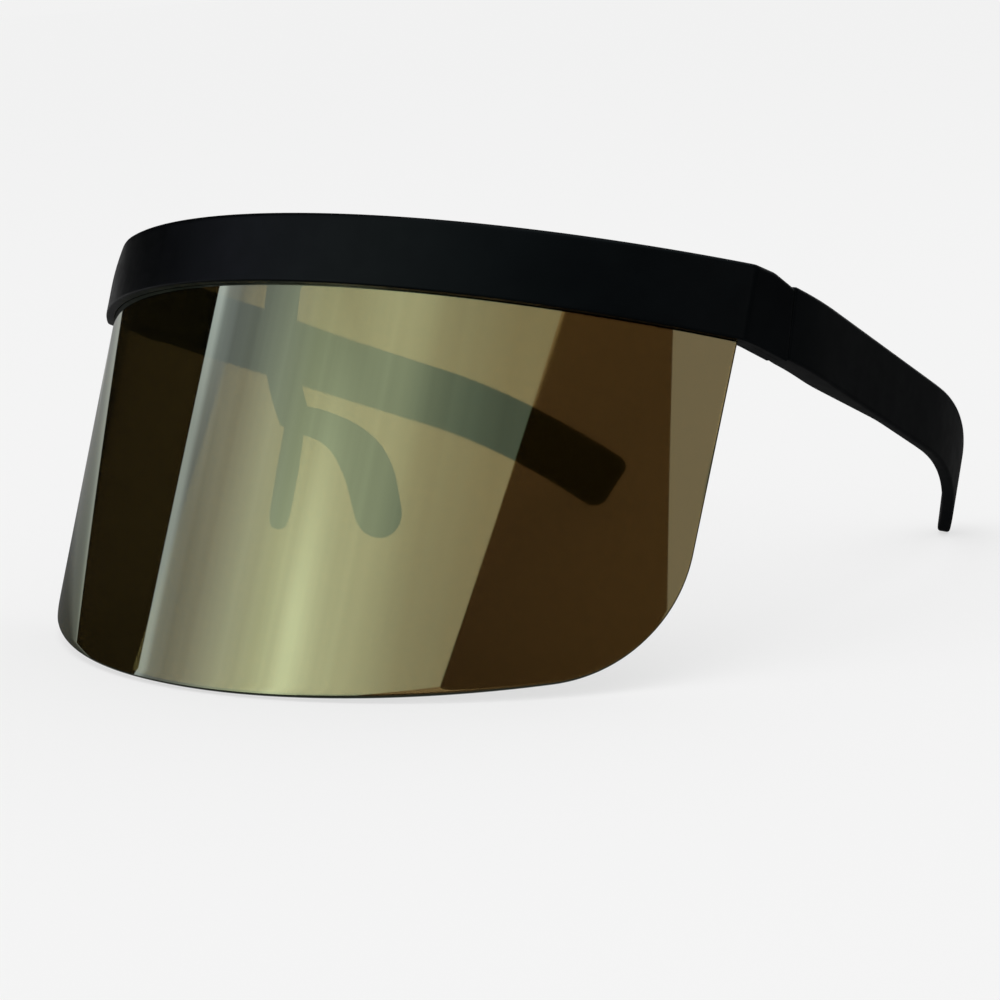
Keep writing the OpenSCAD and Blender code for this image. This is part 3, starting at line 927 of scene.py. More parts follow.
        # The seam leans and the end's height follows its place, so a few rounds settle both.
        for _ in range(self.seam_rounds):
            level = self.level(end_y, height, share, inset)
            stop = self.seam_y - self.seam_gap / 2 - (level + self.hinge_drop) * self.seam_slope
            end_y = centre_y + ahead * (stop - back - centre_y)
        x = np.concatenate([bow_x, turn_x, end_x])
        y = np.concatenate([bow_y, turn_y, end_y])
        edge = np.concatenate([np.zeros((len(x) - len(inset), 1)), inset])
        z = self.level(y, height, share, edge)
        in_groove = (np.arange(len(x)) < len(bow_x))[:, None] & (slot > 0)
        z = np.where(in_groove, -self.groove_top, z)
        heading = np.concatenate([bow, turn, np.full_like(end_y, QUARTER)])
        start, end = self.crown_run
        grown = np.concatenate([(np.degrees(bow) - start) / (end - start), np.ones_like(turn),
                                1 - ahead + np.zeros_like(end_y)])
        crown = self.crowning(depth, height, share, np.clip(grown, 0, 1))
        left = np.stack([x, y, z], -1)
        right = np.stack([crown * np.sin(heading) - x, y + crown * np.cos(heading), z], -1)
        maker = MeshMaker()
        maker.add_body(np.concatenate([right[:0:-1], left]))
        return maker.piece("brow_bar_moulding")

    def build(self, finishes: Finishes) -> None:
        """Make the bar and dress it."""
        dress(self.piece(), Body.FRONT, Slot.FRAME, [finishes.frame], "brow_bar")

    def crowning(self, depth: np.ndarray, height: np.ndarray, share: np.ndarray,
                 grown: np.ndarray) -> np.ndarray:
        """How far the outer face of the right end rounds inwards towards its top edge.

        The rounding is a quarter ellipse. It grows along the last part of the bow and fades
        along the endpiece.

        Args:
            depth: Depths of the section's points.
            height: Their heights from the top or bottom edge.
            share: 0 on the top edge, 1 on the bottom edge.
            grown: How far the rounding has grown, from 0 to 1.

        Returns:
            Distances inwards, for each station and point.
        """
        most, deep = self.crown
        rise = np.clip(1 + height / deep, 0, 1)
        outer = (share < 0.5) & (depth < self.thick / 2)
        inwards = np.where(outer, most * (1 - np.sqrt(1 - rise ** 2)), 0)
        return inwards * grown ** 2 * (3 - 2 * grown)

    def level(self, y: np.ndarray, height: np.ndarray, share: np.ndarray,
              inset: np.ndarray) -> np.ndarray:
        """Heights of the section's points.

        Args:
            y: Places behind the front.
            height: Heights from the top or bottom edge.
            share: 0 on the top edge, 1 on the bottom edge.
            inset: Distance that the section is drawn in.

        Returns:
            Heights as worn; the top slopes at the end and the bottom flares on its way back.
        """
        rear_top = (self.seam_y - self.seam_gap / 2
                    - (self.hinge_drop - self.end_drop) * self.seam_slope)
        low = self.height + self.flare + self.end_flare
        rear_low = self.seam_y - self.seam_gap / 2 + (low - self.hinge_drop) * self.seam_slope
        top = np.interp(y, [rear_top - self.slope_l, rear_top], [0, -self.end_drop])
        bottom = np.interp(y, [0, self.corner_y + self.thick, rear_low],
                           [-self.height, -self.height - self.flare, -low])
        level = top * (1 - share) + bottom * share + height
        return np.clip(level, bottom + inset, top - inset)


@dataclass
class ShieldLens:
    """Deep curved lens whose top edge stands in the bar's groove.

    Its lower corners have more steps on the bottom's half than on the side's.
    """

    bow_r: float = 108.0
    radius: float = 106.3
    thick: float = 1.8
    top: float = 6.35
    drop: float = 82.4
    half_w: float = 78.0
    side_gap: float = 0.4
    side_lean: float = 2.0
    corner_r: float = 26.5
    bottom_r: float = 222.0
    edge: float = 0.3
    bottom_steps: int = 140
    corner_steps: tuple[int, int] = (26, 20)
    side_steps: int = 16

    def outline(self) -> Outline:
        """Edge of the lens rolled out flat: across, and down from the bar's top edge.

        A wide arc forms the bottom and runs into the lower corners' arcs, which run into side
        edges that lean in on their way down.

        Returns:
            The outline, from the wearer's right to the left.
        """
        lean = math.radians(self.side_lean)
        half = self.radius * math.asin(self.half_w / self.bow_r) - self.side_gap
        normal = np.array([math.cos(lean), math.sin(lean)])
        along = np.array([-math.sin(lean), math.cos(lean)])
        low = np.array([0, self.drop - self.bottom_r])
        reach = normal[0] * half - self.corner_r
        offset = normal * reach - low
        run = -(offset @ along) + math.sqrt((offset @ along) ** 2 - offset @ offset
                                            + (self.bottom_r - self.corner_r) ** 2)
        centre = normal * reach + along * run
        start = math.degrees(math.atan2(centre[0] - low[0], centre[1] - low[1]))
        end = 90 - self.side_lean
        middle = (start + end) / 2
        low_steps, high_steps = self.corner_steps
        low_corner = arc(centre, self.corner_r, start, middle, low_steps)[1:]
        bottom = np.concatenate([low_corner[::-1] * [-1, 1],
                                 arc(low, self.bottom_r, -start, start, self.bottom_steps),
                                 low_corner])
        corner = arc(centre, self.corner_r, end, middle, high_steps)
        tip = np.array([half - math.tan(lean) * self.top, self.top])
        rear = np.concatenate([tip[None], line(tip, corner[0], self.side_steps), corner])
        top = np.stack([bottom[:, 0] * tip[0] / bottom[-1, 0], np.full(len(bottom), self.top)], -1)
        return Outline(top, bottom, rear * [-1, 1], rear)

    def place(self, flat: np.ndarray, depth: np.ndarray) -> np.ndarray:
        """Roll flat places round the bow at a depth behind the lens's front."""
        return rolled(flat, depth, self.radius, self.bow_r)

    def piece(self) -> Object:
        """Make the lens as a curved plate with a polished rim, painted pale as painted light.

        Returns:
            The lens.
        """
        maker = MeshMaker()
        add_slab(maker, self.outline(), self.place,
                 lambda flat: np.full(flat.shape[:-1], self.thick), self.edge, rim_mark=1)
        return maker.piece("shield_lens_plate")

    def build(self, finishes: Finishes) -> None:
        """Make the lens and dress it."""
        dress(self.piece(), Body.FRONT, Slot.LENS, [finishes.lens, finishes.edge], "shield_lens")


@dataclass
class Temple:
    """Temple that bends inwards and drops to a rounded tip.

    The toe gives the outer face's heading at the seam, its heading further on and where it gets
    there. The bend gives where it starts and its whole turn, and then how far past the tip it
    is carried on, to which share of the turn. The drop gives where it starts, the lead before
    it and the angle that it ends at. The axis is the hinge's, and the leaf gives its pocket's
    face, length and height.
    """

    side: Side
    half_w: float = 78.0
    seam_y: float = 44.900602
    seam_gap: float = 0.2
    length: float = 116.0
    height: float = 12.1
    step: float = 0.8
    seam_lean: float = 6.0
    toe: Triple = (2.0, 13.0, 14.0)
    bend: tuple[float, float] = (63.5, 27.0)
    bend_past: tuple[float, float] = (10.0, 1.19)
    drop: Triple = (67.0, 1.5, 26.5)
    tip_lean: float = 19.0
    tip_round: float = 2.5
    front_round: float = 0.7
    edge: float = 0.6
    stations: tuple[float, ...] = (-6.0, 0.0, 3.5, 20.0, 44.0, 130.0)
    thicknesses: tuple[float, ...] = (4.5, 4.5, 5.6, 5.6, 2.4, 2.4)
    axis: Triple = (71.6, 44.900602, -6.85)
    leaf: Triple = (1.9, 8.26, 9.72)
    scallop_r: float = 2.1
    plan_past: float = 8.0
    plan_step: float = 0.02
    even_from: float = 5.0
    even_out: float = 3.0
    even_steps: int = 12
    cutter_reach: tuple[float, float] = (6.0, 14.0)
    ring_steps: int = 64
    corner_steps: int = 5
    lead_steps: int = 40
    drop_steps: int = 60
    tip_steps: int = 6
    end_steps: int = 8

    def heading(self, s: np.ndarray) -> np.ndarray:
        """Inward heading of the outer face at a distance from the seam.

        Args:
            s: Distances along the face.

        Returns:
            Headings in radians.
        """
        first, run, reach = self.toe
        start, bend = self.bend
        past, more = self.bend_past
        turn = np.interp(s, [0, reach, start, self.length, self.length + past],
                         [first, run, run, run + bend, run + bend * more])
        return np.radians(np.where(s < 0, 0, turn))

    def plan(self) -> tuple[np.ndarray, np.ndarray, np.ndarray]:
        """Outer face in plan, as the running sum of its heading's direction.

        Returns:
            Distances from the seam, and places across and behind it.
        """
        s = np.arange(-self.plan_past, self.length + self.plan_past, self.plan_step)
        middle = self.heading((s[1:] + s[:-1]) / 2)
        across = np.concatenate([[0], np.cumsum(-np.sin(middle) * self.plan_step)])
        behind = np.concatenate([[0], np.cumsum(np.cos(middle) * self.plan_step)])
        zero = np.searchsorted(s, 0)
        return s, across - across[zero], behind - behind[zero]

    def outline(self) -> Outline:
        """Side view of the temple: behind the seam, and up from the bar's top edge.

        A straight lead runs into an arc that drops to the tip, whose end leans and has round
        corners; the bottom edge runs parallel to the top.

        Returns:
            The outline.
        """
        s, _, behind = self.plan()
        end_y = np.interp(self.length, s, behind)
        drop_at, lead, angle = self.drop
        steep = math.sin(math.radians(lead))
        radius = (end_y - drop_at) / (math.sin(math.radians(angle)) - steep)
        centre = (np.array([drop_at, -self.step - drop_at * math.tan(math.radians(lead))])
                  - radius * np.array([steep, math.cos(math.radians(lead))]))
        reach = radius * math.sin(math.radians(angle - self.tip_lean)) - self.tip_round
        high, low = radius - self.tip_round, radius - self.height + self.tip_round
        high_end = self.tip_lean + math.degrees(math.asin(reach / high))
        low_end = self.tip_lean + math.degrees(math.asin(reach / low))
        high_tip = arc(centre, high, high_end, high_end, 1)[0]
        low_tip = arc(centre, low, low_end, low_end, 1)[0]
        lean, small = math.radians(self.seam_lean), self.front_round
        slope, off = math.tan(lean), small / math.cos(lean)
        deep = self.height / math.cos(math.radians(lead))
        high_front = (off - (self.height / 2 - small) * slope, -self.step - small)
        low_front = (off + (deep - self.height / 2 - small) * slope, -self.step - deep + small)
        # Each corner's arc is shared between a long side and an end, which meet half way round.
        turn = 90 + self.tip_lean
        first = (-90 - self.seam_lean + lead) / 2
        last = (180 + lead + 270 - self.seam_lean) / 2
        high_turn, low_turn = (high_end + turn) / 2, (turn + 180 + low_end) / 2
        few, tip = self.corner_steps, self.tip_round
        top_front = arc(high_front, small, first, lead, few)
        top_arc = arc(centre, radius, lead, high_end, self.drop_steps)
        top_tip = arc(high_tip, tip, high_end, high_turn, self.tip_steps)
        low_front_arc = arc(low_front, small, last, 180 + lead, few)
        low_arc = arc(centre, radius - self.height, lead, low_end, self.drop_steps)
        low_tip_arc = arc(low_tip, tip, 180 + low_end, low_turn, self.tip_steps)
        top = np.concatenate([top_front, line(top_front[-1], top_arc[0], self.lead_steps),
                              top_arc, top_tip[1:]])
        bottom = np.concatenate([low_front_arc,
                                 line(low_front_arc[-1], low_arc[0], self.lead_steps),
                                 low_arc, low_tip_arc[1:]])
        ends = [(arc(high_front, small, first, -90 - self.seam_lean, few),
                 arc(low_front, small, 270 - self.seam_lean, last, few)),
                (arc(high_tip, tip, high_turn, turn, few), arc(low_tip, tip, turn, low_turn, few))]
        front, rear = (np.concatenate([high, line(high[-1], low[0], self.end_steps), low])
                       for high, low in ends)
        return Outline(top, bottom, front, rear)

    def thickness(self, flat: np.ndarray) -> np.ndarray:
        """Thickness at flat places: a thick root that tapers to a thin plate, evened out.

        Args:
            flat: Places behind the seam and up, of shape (..., 2).

        Returns:
            Thicknesses.
        """
        s, _, behind = self.plan()
        along = np.interp(flat[..., 0], behind, s)
        room = np.clip(along / self.even_from - 1, 0, 1)
        steps = np.linspace(-self.even_out, self.even_out, self.even_steps + 1)
        return np.mean([np.interp(along + step * room, self.stations, self.thicknesses)
                        for step in steps], 0)

    def place(self, flat: np.ndarray, depth: np.ndarray) -> np.ndarray:
        """Bend flat places round the temple's plan at a depth inside its outer face.

        Args:
            flat: Places behind the seam and up, of shape (..., 2).
            depth: Depths inside the outer face.

        Returns:
            Worn places of shape (..., 3).
        """
        s, across, behind = self.plan()
        along = np.interp(flat[..., 0], behind, s)
        turn = self.heading(along)
        x = self.half_w + np.interp(along, s, across) - depth * np.cos(turn)
        y = (self.seam_y + self.seam_gap / 2 + np.interp(along, s, behind)
             - depth * np.sin(turn))
        return np.stack([x, y, flat[..., 1]], -1)

    def cutters(self) -> list[Object]:
        """Bodies of the round relief for the barrels and the pocket for the hinge leaf.

        Returns:
            Both bodies, which reach past the temple on its open sides.
        """
        flip = self.side is Side.RIGHT
        x, y, z = self.axis
        out, high = self.cutter_reach
        turn = np.linspace(0, 2 * math.pi, self.ring_steps + 1)[:-1]
        ring = np.stack([x + self.scallop_r * np.cos(turn), y + self.scallop_r * np.sin(turn)], -1)
        barrel = MeshMaker()
        self.add_prism(barrel, ring, z - high, z + high)
        face, length, height = self.leaf
        pocket = MeshMaker()
        box = np.array([[x - out, y - out], [x + face, y - out], [x + face, y + length],
                        [x - out, y + length]])
        self.add_prism(pocket, box, z - height / 2, z + height / 2)
        return [barrel.piece("barrel_cutter", flip), pocket.piece("pocket_cutter", flip)]

    @staticmethod
    def add_prism(maker: MeshMaker, ring: np.ndarray, low: float, high: float) -> None:
        """Add an upright prism.

        Args:
            maker: Collects the prism.
            ring: Its plan, of shape (n, 2).
            low: Height of its bottom.
            high: Height of its top.
        """
        rings = [np.column_stack([ring, np.full(len(ring), level)]) for level in (low, high)]
        maker.add_body(np.stack(rings))

    def piece(self) -> Object:
        """Make the temple as a bent plate, and cut the hinge's room out of its root.

        Returns:
            The temple.
        """
        maker = MeshMaker()
        add_slab(maker, self.outline(), self.place, self.thickness, self.edge)
        piece = maker.piece(f"temple_{self.side.word}_moulding", self.side is Side.RIGHT)
        cut(piece, self.cutters())
        return piece

    def build(self, finishes: Finishes) -> None:
        """Make the temple and dress it."""
        dress(self.piece(), self.side.body, Slot.FRAME, [finishes.frame],
              f"temple_{self.side.word}")


@dataclass
class NosePiece:
    """Plate on the bar's back, a stem swept back, and two legs turned down, in one moulding.

    The shares give places along a leg and the part of its width or thickness there. The plate
    has round corners and smaller rounds on its edges. The stem starts before its sweep and ends
    past it, in degrees.
    """

    bow_r: float = 108.0
    plate_r: float = 103.45
    plate_w: float = 15.0
    plate_top: float = 1.3
    plate_low: float = 11.6
    thick: float = 2.3
    stem_w: float = 7.0
    stem_r: float = 34.0
    sweep: float = 40.0
    splay: float = 45.0
    leg_reach: float = 2.0
    leg_turn_r: float = 14.0
    leg_turn: float = 68.0
    leg_run: float = 9.4
    leg_w: float = 8.6
    leg_t: float = 3.8
    width_shares: tuple[tuple[float, ...], ...] = ((0, 0.25, 0.5, 0.65, 1),
                                                   (0.56, 0.64, 0.96, 1, 0.92))
    thick_shares: tuple[tuple[float, ...], ...] = ((0, 0.3, 0.6, 1), (0.8, 0.9, 1, 0.95))
    plate_round: tuple[float, float] = (1.6, 0.4)
    plate_steps: tuple[int, int, int] = (4, 8, 18)
    stem_reach: Range = (-8.0, 2.0)
    stem_square: float = 0.4
    stem_steps: tuple[int, int] = (39, 40)
    leg_blunt: float = 0.02
    leg_square: float = 0.85
    leg_steps: tuple[int, int] = (59, 32)
    voxel: float = 0.00032
    smooth_share: float = 0.5
    smooth_rounds: int = 10
    sharp: float = 60.0

    @property
    def stem_middle(self) -> float:
        """Place behind the front of the stem's middle at its top."""
        return self.bow_r - self.plate_r + self.thick / 2

    def add_plate(self, maker: MeshMaker) -> None:
        """Add the curved mounting plate: a rectangle with round corners, rolled round the bow.

        Args:
            maker: Collects the plate.
        """
        half, (small, edge) = self.plate_w / 2, self.plate_round
        high, low = self.plate_top, self.plate_low
        few, side, wide = self.plate_steps
        corner = arc((half - small, low - small), small, 90, 45, few)
        upper = arc((half - small, high + small), small, 135, 90, few)
        rear = np.concatenate([upper, line(upper[-1], corner[0], side), corner])
        bottom = arc((half - small, low - small), small, 0, 45, few)
        bottom = np.concatenate([bottom[::-1] * [-1, 1],
                                 line(bottom[0] * [-1, 1], bottom[0], wide), bottom])
        top = bottom * [1, -1] + [0, high + low]
        outline = Outline(top, bottom, rear * [-1, 1], rear)
        add_slab(maker, outline, self.plate_place,
                 lambda flat: np.full(flat.shape[:-1], self.thick), edge)

    def plate_place(self, flat: np.ndarray, depth: np.ndarray) -> np.ndarray:
        """Roll flat places round the bow at a depth behind the plate's front."""
        return rolled(flat, depth, self.plate_r, self.bow_r)

    def add_stem(self, maker: MeshMaker) -> None:
        """Add the stem: a rounded rectangle carried round the sweep's arc.

        It starts inside the plate and ends inside the legs.

        Args:
            maker: Collects the stem.
        """
        start, past = self.stem_reach
        long, round_steps = self.stem_steps
        angle = np.radians(np.linspace(start, self.sweep + past, long + 1))[:, None]
        across, out = self.squircle(round_steps, self.stem_square)
        across, out = self.stem_w / 2 * across, self.thick / 2 * out
        radius = self.stem_r - out
        x = across + 0 * angle
        y = self.stem_middle + self.stem_r - radius * np.cos(angle)
        z = -self.plate_low - radius * np.sin(angle)
        maker.add_body(np.stack([x, y, z], -1))

    @staticmethod
    def squircle(count: int, power: float) -> tuple[np.ndarray, np.ndarray]:
        """Points round a circle of radius 1 that is pressed towards a square.

        Args:
            count: Number of points.
            power: 1 for a circle, less for squarer corners.

        Returns:
            Their first and second coordinates, each as one row.
        """
        turn = np.linspace(0, 2 * math.pi, count + 1)[None, :-1]
        cos, sin = np.cos(turn), np.sin(turn)
        return np.sign(cos) * np.abs(cos) ** power, np.sign(sin) * np.abs(sin) ** power

    def add_leg(self, maker: MeshMaker, side: Side) -> None:
        """Add a leg: a flattened round section carried along a line that turns down.

        Args:
            maker: Collects the leg.
            side: Side that it stands on.
        """
        lead = self.leg_reach + self.thick / 2
        turned = self.leg_turn_r * math.radians(self.leg_turn)
        length = lead + turned + self.leg_run
        long, round_steps = self.leg_steps
        s = length * np.sin(np.linspace(0, QUARTER, long + 1))[:, None]
        heading = np.clip((s - lead) / self.leg_turn_r, 0, math.radians(self.leg_turn))
        run = np.maximum(s - lead - turned, 0)
        out = (np.minimum(s, lead) - self.thick / 2 + self.leg_turn_r * np.sin(heading)
               + run * math.cos(math.radians(self.leg_turn)))
        down = (self.leg_turn_r * (1 - np.cos(heading))
                + run * math.sin(math.radians(self.leg_turn)))
        past = np.maximum(0, s - length + self.leg_w / 2) / (self.leg_w / 2)
        cap = np.sqrt(np.maximum(self.leg_blunt, 1 - past ** 2))
        wide = self.leg_w / 2 * np.interp(s / length, *self.width_shares) * cap
        thick = self.leg_t / 2 * np.interp(s / length, *self.thick_shares) * np.sqrt(cap)
        u, v = self.squircle(round_steps, self.leg_square)
        u, v = wide * u, thick * v
        a = out + u * np.sin(heading)
        z = -down + u * np.cos(heading)
        splay = math.radians(90 - self.splay)
        x = a * math.cos(splay) - v * math.sin(splay)
        y = a * math.sin(splay) + v * math.cos(splay)
        sweep = math.radians(self.sweep)
        root_y = self.stem_middle + self.stem_r * (1 - math.cos(sweep))
        root_z = -self.plate_low - self.stem_r * math.sin(sweep)
        maker.add_body(np.stack([side.value * x, y + root_y, z + root_z], -1))

    def piece(self) -> Object:
        """Join plate, stem and legs into one skin and smooth it like a moulding.

        Returns:
            The nose piece.
        """
        maker = MeshMaker()
        self.add_plate(maker)
        self.add_stem(maker)
        for side in Side:
            self.add_leg(maker, side)
        piece = maker.piece("nose_piece_moulding")
        remesh = piece.modifiers.new("one skin", "REMESH")
        remesh.mode = "VOXEL"
        remesh.voxel_size = self.voxel
        smooth = piece.modifiers.new("moulded", "SMOOTH")
        smooth.factor = self.smooth_share
        smooth.iterations = self.smooth_rounds
        applied(piece)
        tidy(piece.data, self.sharp, CLOSE)
        return piece

    def build(self, finishes: Finishes) -> None:
        """Make the nose piece and dress it."""
        dress(self.piece(), Body.FRONT, Slot.NOSE, [finishes.nose], "nose_piece")


@dataclass
class Hardware:
    """Hinge leaves and screws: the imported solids, joined up, with their edges broken.

    Edges turned by more than the corner's angle are bevelled.
    """

    bevel: float = 0.00007
    bevel_steps: int = 2
    corner: float = 30.0
    sharp: float = 40.0

    def piece(self, node: str, body: Body, slot: Slot, material: Material) -> None:
        """Make one joined copy of a node with small bevels, and let it stand for the node.

        Args:
            node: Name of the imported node.
            body: Body that it moves with.
            slot: Slot of the record.
            material: Its finish.
        """
        copy = placed(f"{node}_metal", bpy.data.objects[node].data.copy())
        tidy(copy.data, self.corner, CLOSE)
        bevel = copy.modifiers.new("broken edges", "BEVEL")
        bevel.width = self.bevel
        bevel.segments = self.bevel_steps
        bevel.limit_method = "ANGLE"
        bevel.angle_limit = math.radians(self.corner)
        bevel.harden_normals = False
        applied(copy)
        tidy(copy.data, self.sharp, CLOSE)
        dress(copy, body, slot, [material], node)

    def build(self, finishes: Finishes) -> None:
        """Make every leaf and screw, and dress them.

        Args:
            finishes: Every finish of the object.
        """
        screw, leaf = (Slot.SCREW, finishes.screw), (Slot.LEAF, finishes.leaf)
        self.piece("lens_screws", Body.FRONT, *screw)
        self.piece("nose_screws", Body.FRONT, *screw)
        for side in Side:
            self.piece(f"front_leaf_{side.word}", Body.FRONT, *leaf)
            self.piece(f"temple_leaf_{side.word}", side.body, *leaf)
            self.piece(f"front_leaf_screws_{side.word}", Body.FRONT, *screw)
            self.piece(f"temple_leaf_screws_{side.word}", side.body, *screw)
            self.piece(f"hinge_screw_{side.word}", Body.FRONT, *screw)


# ---------------------------------------------------------------- studio


@dataclass
class Studio:
    """Pale floor and surroundings, plain light, and what the mirror coat shows.

    Mirrors see a ring of cards far round the object: a soft box before it, a black flag and a
    warm dim wall beside that, and a black cloth behind. They see the floor dimmer than it is,
    but for a glow behind the object. The lens shows a bright panel that lies on the floor behind
    the glasses. Angles are in degrees, and azimuths run from -Y towards +X. The flag's and the
    wall's edges give their azimuth at one level and its slope; the flag's also has a least one.
    """

    pale: Colour = (0.888, 0.888, 0.888)
    ring_r: float = 15.0
    levels: Range = (-8.0, 62.0)
    ring_steps: tuple[int, int] = (35, 64)
    edge_level: float = 30.0
    flag_edge: Triple = (19.5, 2.0, -20.0)
    wall_edge: tuple[float, float] = (42.8, -0.904)
    soft_low: Stops = (
        (-68.2, 1.1), (-66.5, 1.0), (-64.5, 0.5), (-60.0, 0.37), (-54.0, 0.54), (-45.0, 1.0),
        (-37.6, 1.24), (-32.0, 1.6), (-29.5, 2.1), (-27.4, 2.25), (-25.0, 1.95), (-20.5, 1.4),
        (-17.6, 1.36), (-8.0, 0.9), (1.0, 0.46), (10.0, 0.33), (40.0, 0.3))
    soft_high: Stops = (
        (-68.2, 0.5), (-65.3, 0.5), (-63.0, 0.45), (-59.0, 0.4), (-54.5, 0.42), (-45.0, 0.7),
        (-40.7, 0.82), (-32.7, 0.86), (-27.0, 0.9), (-22.0, 1.03), (-17.0, 1.1), (-10.0, 0.95),
        (-5.0, 0.63), (4.3, 0.43), (13.6, 0.3), (40.0, 0.28))
    soft_blend: Range = (23.5, 29.5)
    corner_levels: Stops = ((16.5, 0.0), (19.5, 0.5), (24.0, 0.5), (28.0, 0.0))
    corner_run: Range = (-54.0, -63.0)
    streaks: Waves = (0.28, 4.0)
    streak_light: Range = (0.85, 1.15)
    cool_to_warm: Range = (-62.0, -36.0)
    warm_to_fair: Range = (-12.0, 6.0)
    cool: Colour = (1.08, 1.02, 1.3)
    warm: Colour = (1.06, 1.0, 0.89)
    fair: Colour = (0.98, 1.04, 1.0)
    wall: Colour = (0.59, 0.43, 0.37)
    wall_top: Range = (34.0, 40.0)
    wall_light: Range = (1.0, 0.02)
    wall_end: float = 84.0
    cloth: Stops = (
        (-180.0, 0.4), (-165.0, 0.5), (-158.0, 0.3), (-148.0, 0.002), (136.0, 0.008),
        (150.0, 0.05), (180.0, 0.4))
    dim_floor: Stops = (
        (-3.0, 0.66), (-1.6, 0.53), (-0.45, 0.3), (-0.25, 0.26), (-0.14, 0.11), (0.12, 0.06),
        (3.0, 0.06))
    far_glow: Stops = ((-0.6, 0.0), (-0.3, 0.9), (-0.15, 0.9), (0.0, 0.0))
    glow_start: Range = (0.2, 0.32)
    panel: Colour = (2.5, 3.26, 3.6)
    panel_light: Stops = ((-0.1, 1.75), (0.1, 1.5), (0.45, 1.1))
    panel_corners: tuple[tuple[float, float], ...] = (
        (-0.5413, 0.4311), (-0.0013, -0.0967), (0.0485, -0.0763), (-0.3575, 0.4355))
    layer: float = 2e-5
    floor_half: float = 30.0
    floor_catch: tuple[float, float] = (0.3, 0.98)
    lamp_size: float = 1.2
    lamp_power: float = 3.0
    lamp_place: Triple = (0.3, -0.2, 1.6)

    def card(self, name: str, grid: np.ndarray, material: Material,
             seen_by: str = "glossy") -> Object:
        """Make a card that only one kind of ray sees.

        Args:
            name: Name of the card.
            grid: Places of shape (rows, columns, 3) in metres.
            material: What it shines with.
            seen_by: Kind of ray that sees it.

        Returns:
            The card.
        """
        maker = MeshMaker()
        maker.add_grid(grid)
        mesh = bpy.data.meshes.new(name)
        mesh.from_pydata(maker.points[0].tolist(), [], maker.faces)
        mesh.materials.append(material)
        card = placed(name, mesh)
        for ray in ("camera", "diffuse", "glossy", "transmission", "volume_scatter", "shadow"):
            setattr(card, f"visible_{ray}", ray == seen_by)
        return card

    def edges(self, levels: np.ndarray) -> list[np.ndarray]:
        """Azimuths of the edges between the ring's cards.

        Args:
            levels: Elevations in degrees.

        Returns:
            For each edge its azimuth at each elevation, in degrees from -Y towards +X: left of
            the soft box, between soft box and flag, between flag and wall, right of the wall,
            and left of the soft box again, one turn on.
        """
        left = np.full(len(levels), self.soft_low[0][0])
        up = levels - self.edge_level
        at, slope, least = self.flag_edge
        wall = self.wall_edge[0] + self.wall_edge[1] * up
        flag = np.minimum(np.maximum(at + slope * up, least), wall)
        return [left, flag, wall, np.full(len(levels), self.wall_end), left + 360]

    def ring(self) -> None:
        """Put up the ring of cards."""
        high, round_steps = self.ring_steps
        levels = np.linspace(*self.levels, high + 1)
        edges = self.edges(levels)
        names = ("soft box", "black flag", "dim wall", "black cloth")
        materials = (self.soft_box(), Shine("black flag", strength=0.0).material,
                     self.dim_wall(), self.black_cloth())
        share = np.linspace(0, 1, round_steps + 1)
        for name, material, start, end in zip(names, materials, edges, edges[1:]):
            azimuth = np.radians(start[:, None] * (1 - share) + end[:, None] * share)
            level = np.radians(levels[:, None]) + 0 * azimuth
            grid = np.stack([np.sin(azimuth) * np.cos(level), -np.cos(azimuth) * np.cos(level),
                             np.sin(level)], -1) * self.ring_r
            self.card(name.replace(" ", "_"), grid, material)

    def bearings(self, shine: Shine) -> tuple[NodeSocket, NodeSocket]:
        """Azimuth and elevation of a place on the ring.

        Args:
            shine: Node tree that needs them.

        Returns:
            Both in degrees, the azimuth from -Y towards +X between -180 and 180.
        """
        axes = shine.axes()
        azimuth = shine.math("ARCTAN2", axes["X"], shine.math("MULTIPLY", axes["Y"], -1.0))
        level = shine.math("ARCSINE", shine.math("DIVIDE", axes["Z"], self.ring_r))
        return shine.math("DEGREES", azimuth), shine.math("DEGREES", level)

    def dim_wall(self) -> Material:
        """Make the warm wall, which ends in the dark some way up.

        Returns:
            Its material.
        """
        shine = Shine("dim wall", self.wall)
        _, level = self.bearings(shine)
        return shine.strength(shine.span(level, self.wall_top, self.wall_light))

    def black_cloth(self) -> Material:
        """Make the black cloth, which catches a little light right behind the object.

        Returns:
            Its material.
        """
        shine = Shine("black cloth")
        azimuth, _ = self.bearings(shine)
        return shine.strength(shine.profile(azimuth, self.cloth))

    def soft_box(self) -> Material:
        """Make the soft box's cloth, whose light follows the azimuth, with faint streaks.

        One profile holds for its lower half and one for its upper half. Its light turns from
        cool over warm to plain, and its left edge is brighter half way up.

        Returns:
            Its material.
        """
        shine = Shine("soft box")
        azimuth, level = self.bearings(shine)
        middle = shine.tone(shine.span(azimuth, self.cool_to_warm), self.cool, self.warm)
        shine.join(shine.tone(shine.span(azimuth, self.warm_to_fair), middle, self.fair),
                   shine.glow.inputs["Color"])
        high = shine.span(level, self.soft_blend)
        low = shine.math("SUBTRACT", 1.0, high)
        light = shine.math(
            "ADD", shine.math("MULTIPLY", shine.profile(azimuth, self.soft_low), low),
            shine.math("MULTIPLY", shine.profile(azimuth, self.soft_high), high))
        scale, detail = self.streaks
        streaks = shine.node("TexNoise", Scale=scale, Detail=detail)
        streaks.noise_dimensions = "1D"
        shine.join(azimuth, streaks.inputs["W"])
        spread = shine.span(streaks.outputs["Fac"], (0, 1), self.streak_light)
        corner = shine.math("MULTIPLY", shine.profile(level, self.corner_levels),
                            shine.span(azimuth, self.corner_run))
        light = shine.math("MULTIPLY", light, shine.math("ADD", 1.0, corner))
        return shine.strength(shine.math("MULTIPLY", light, spread))

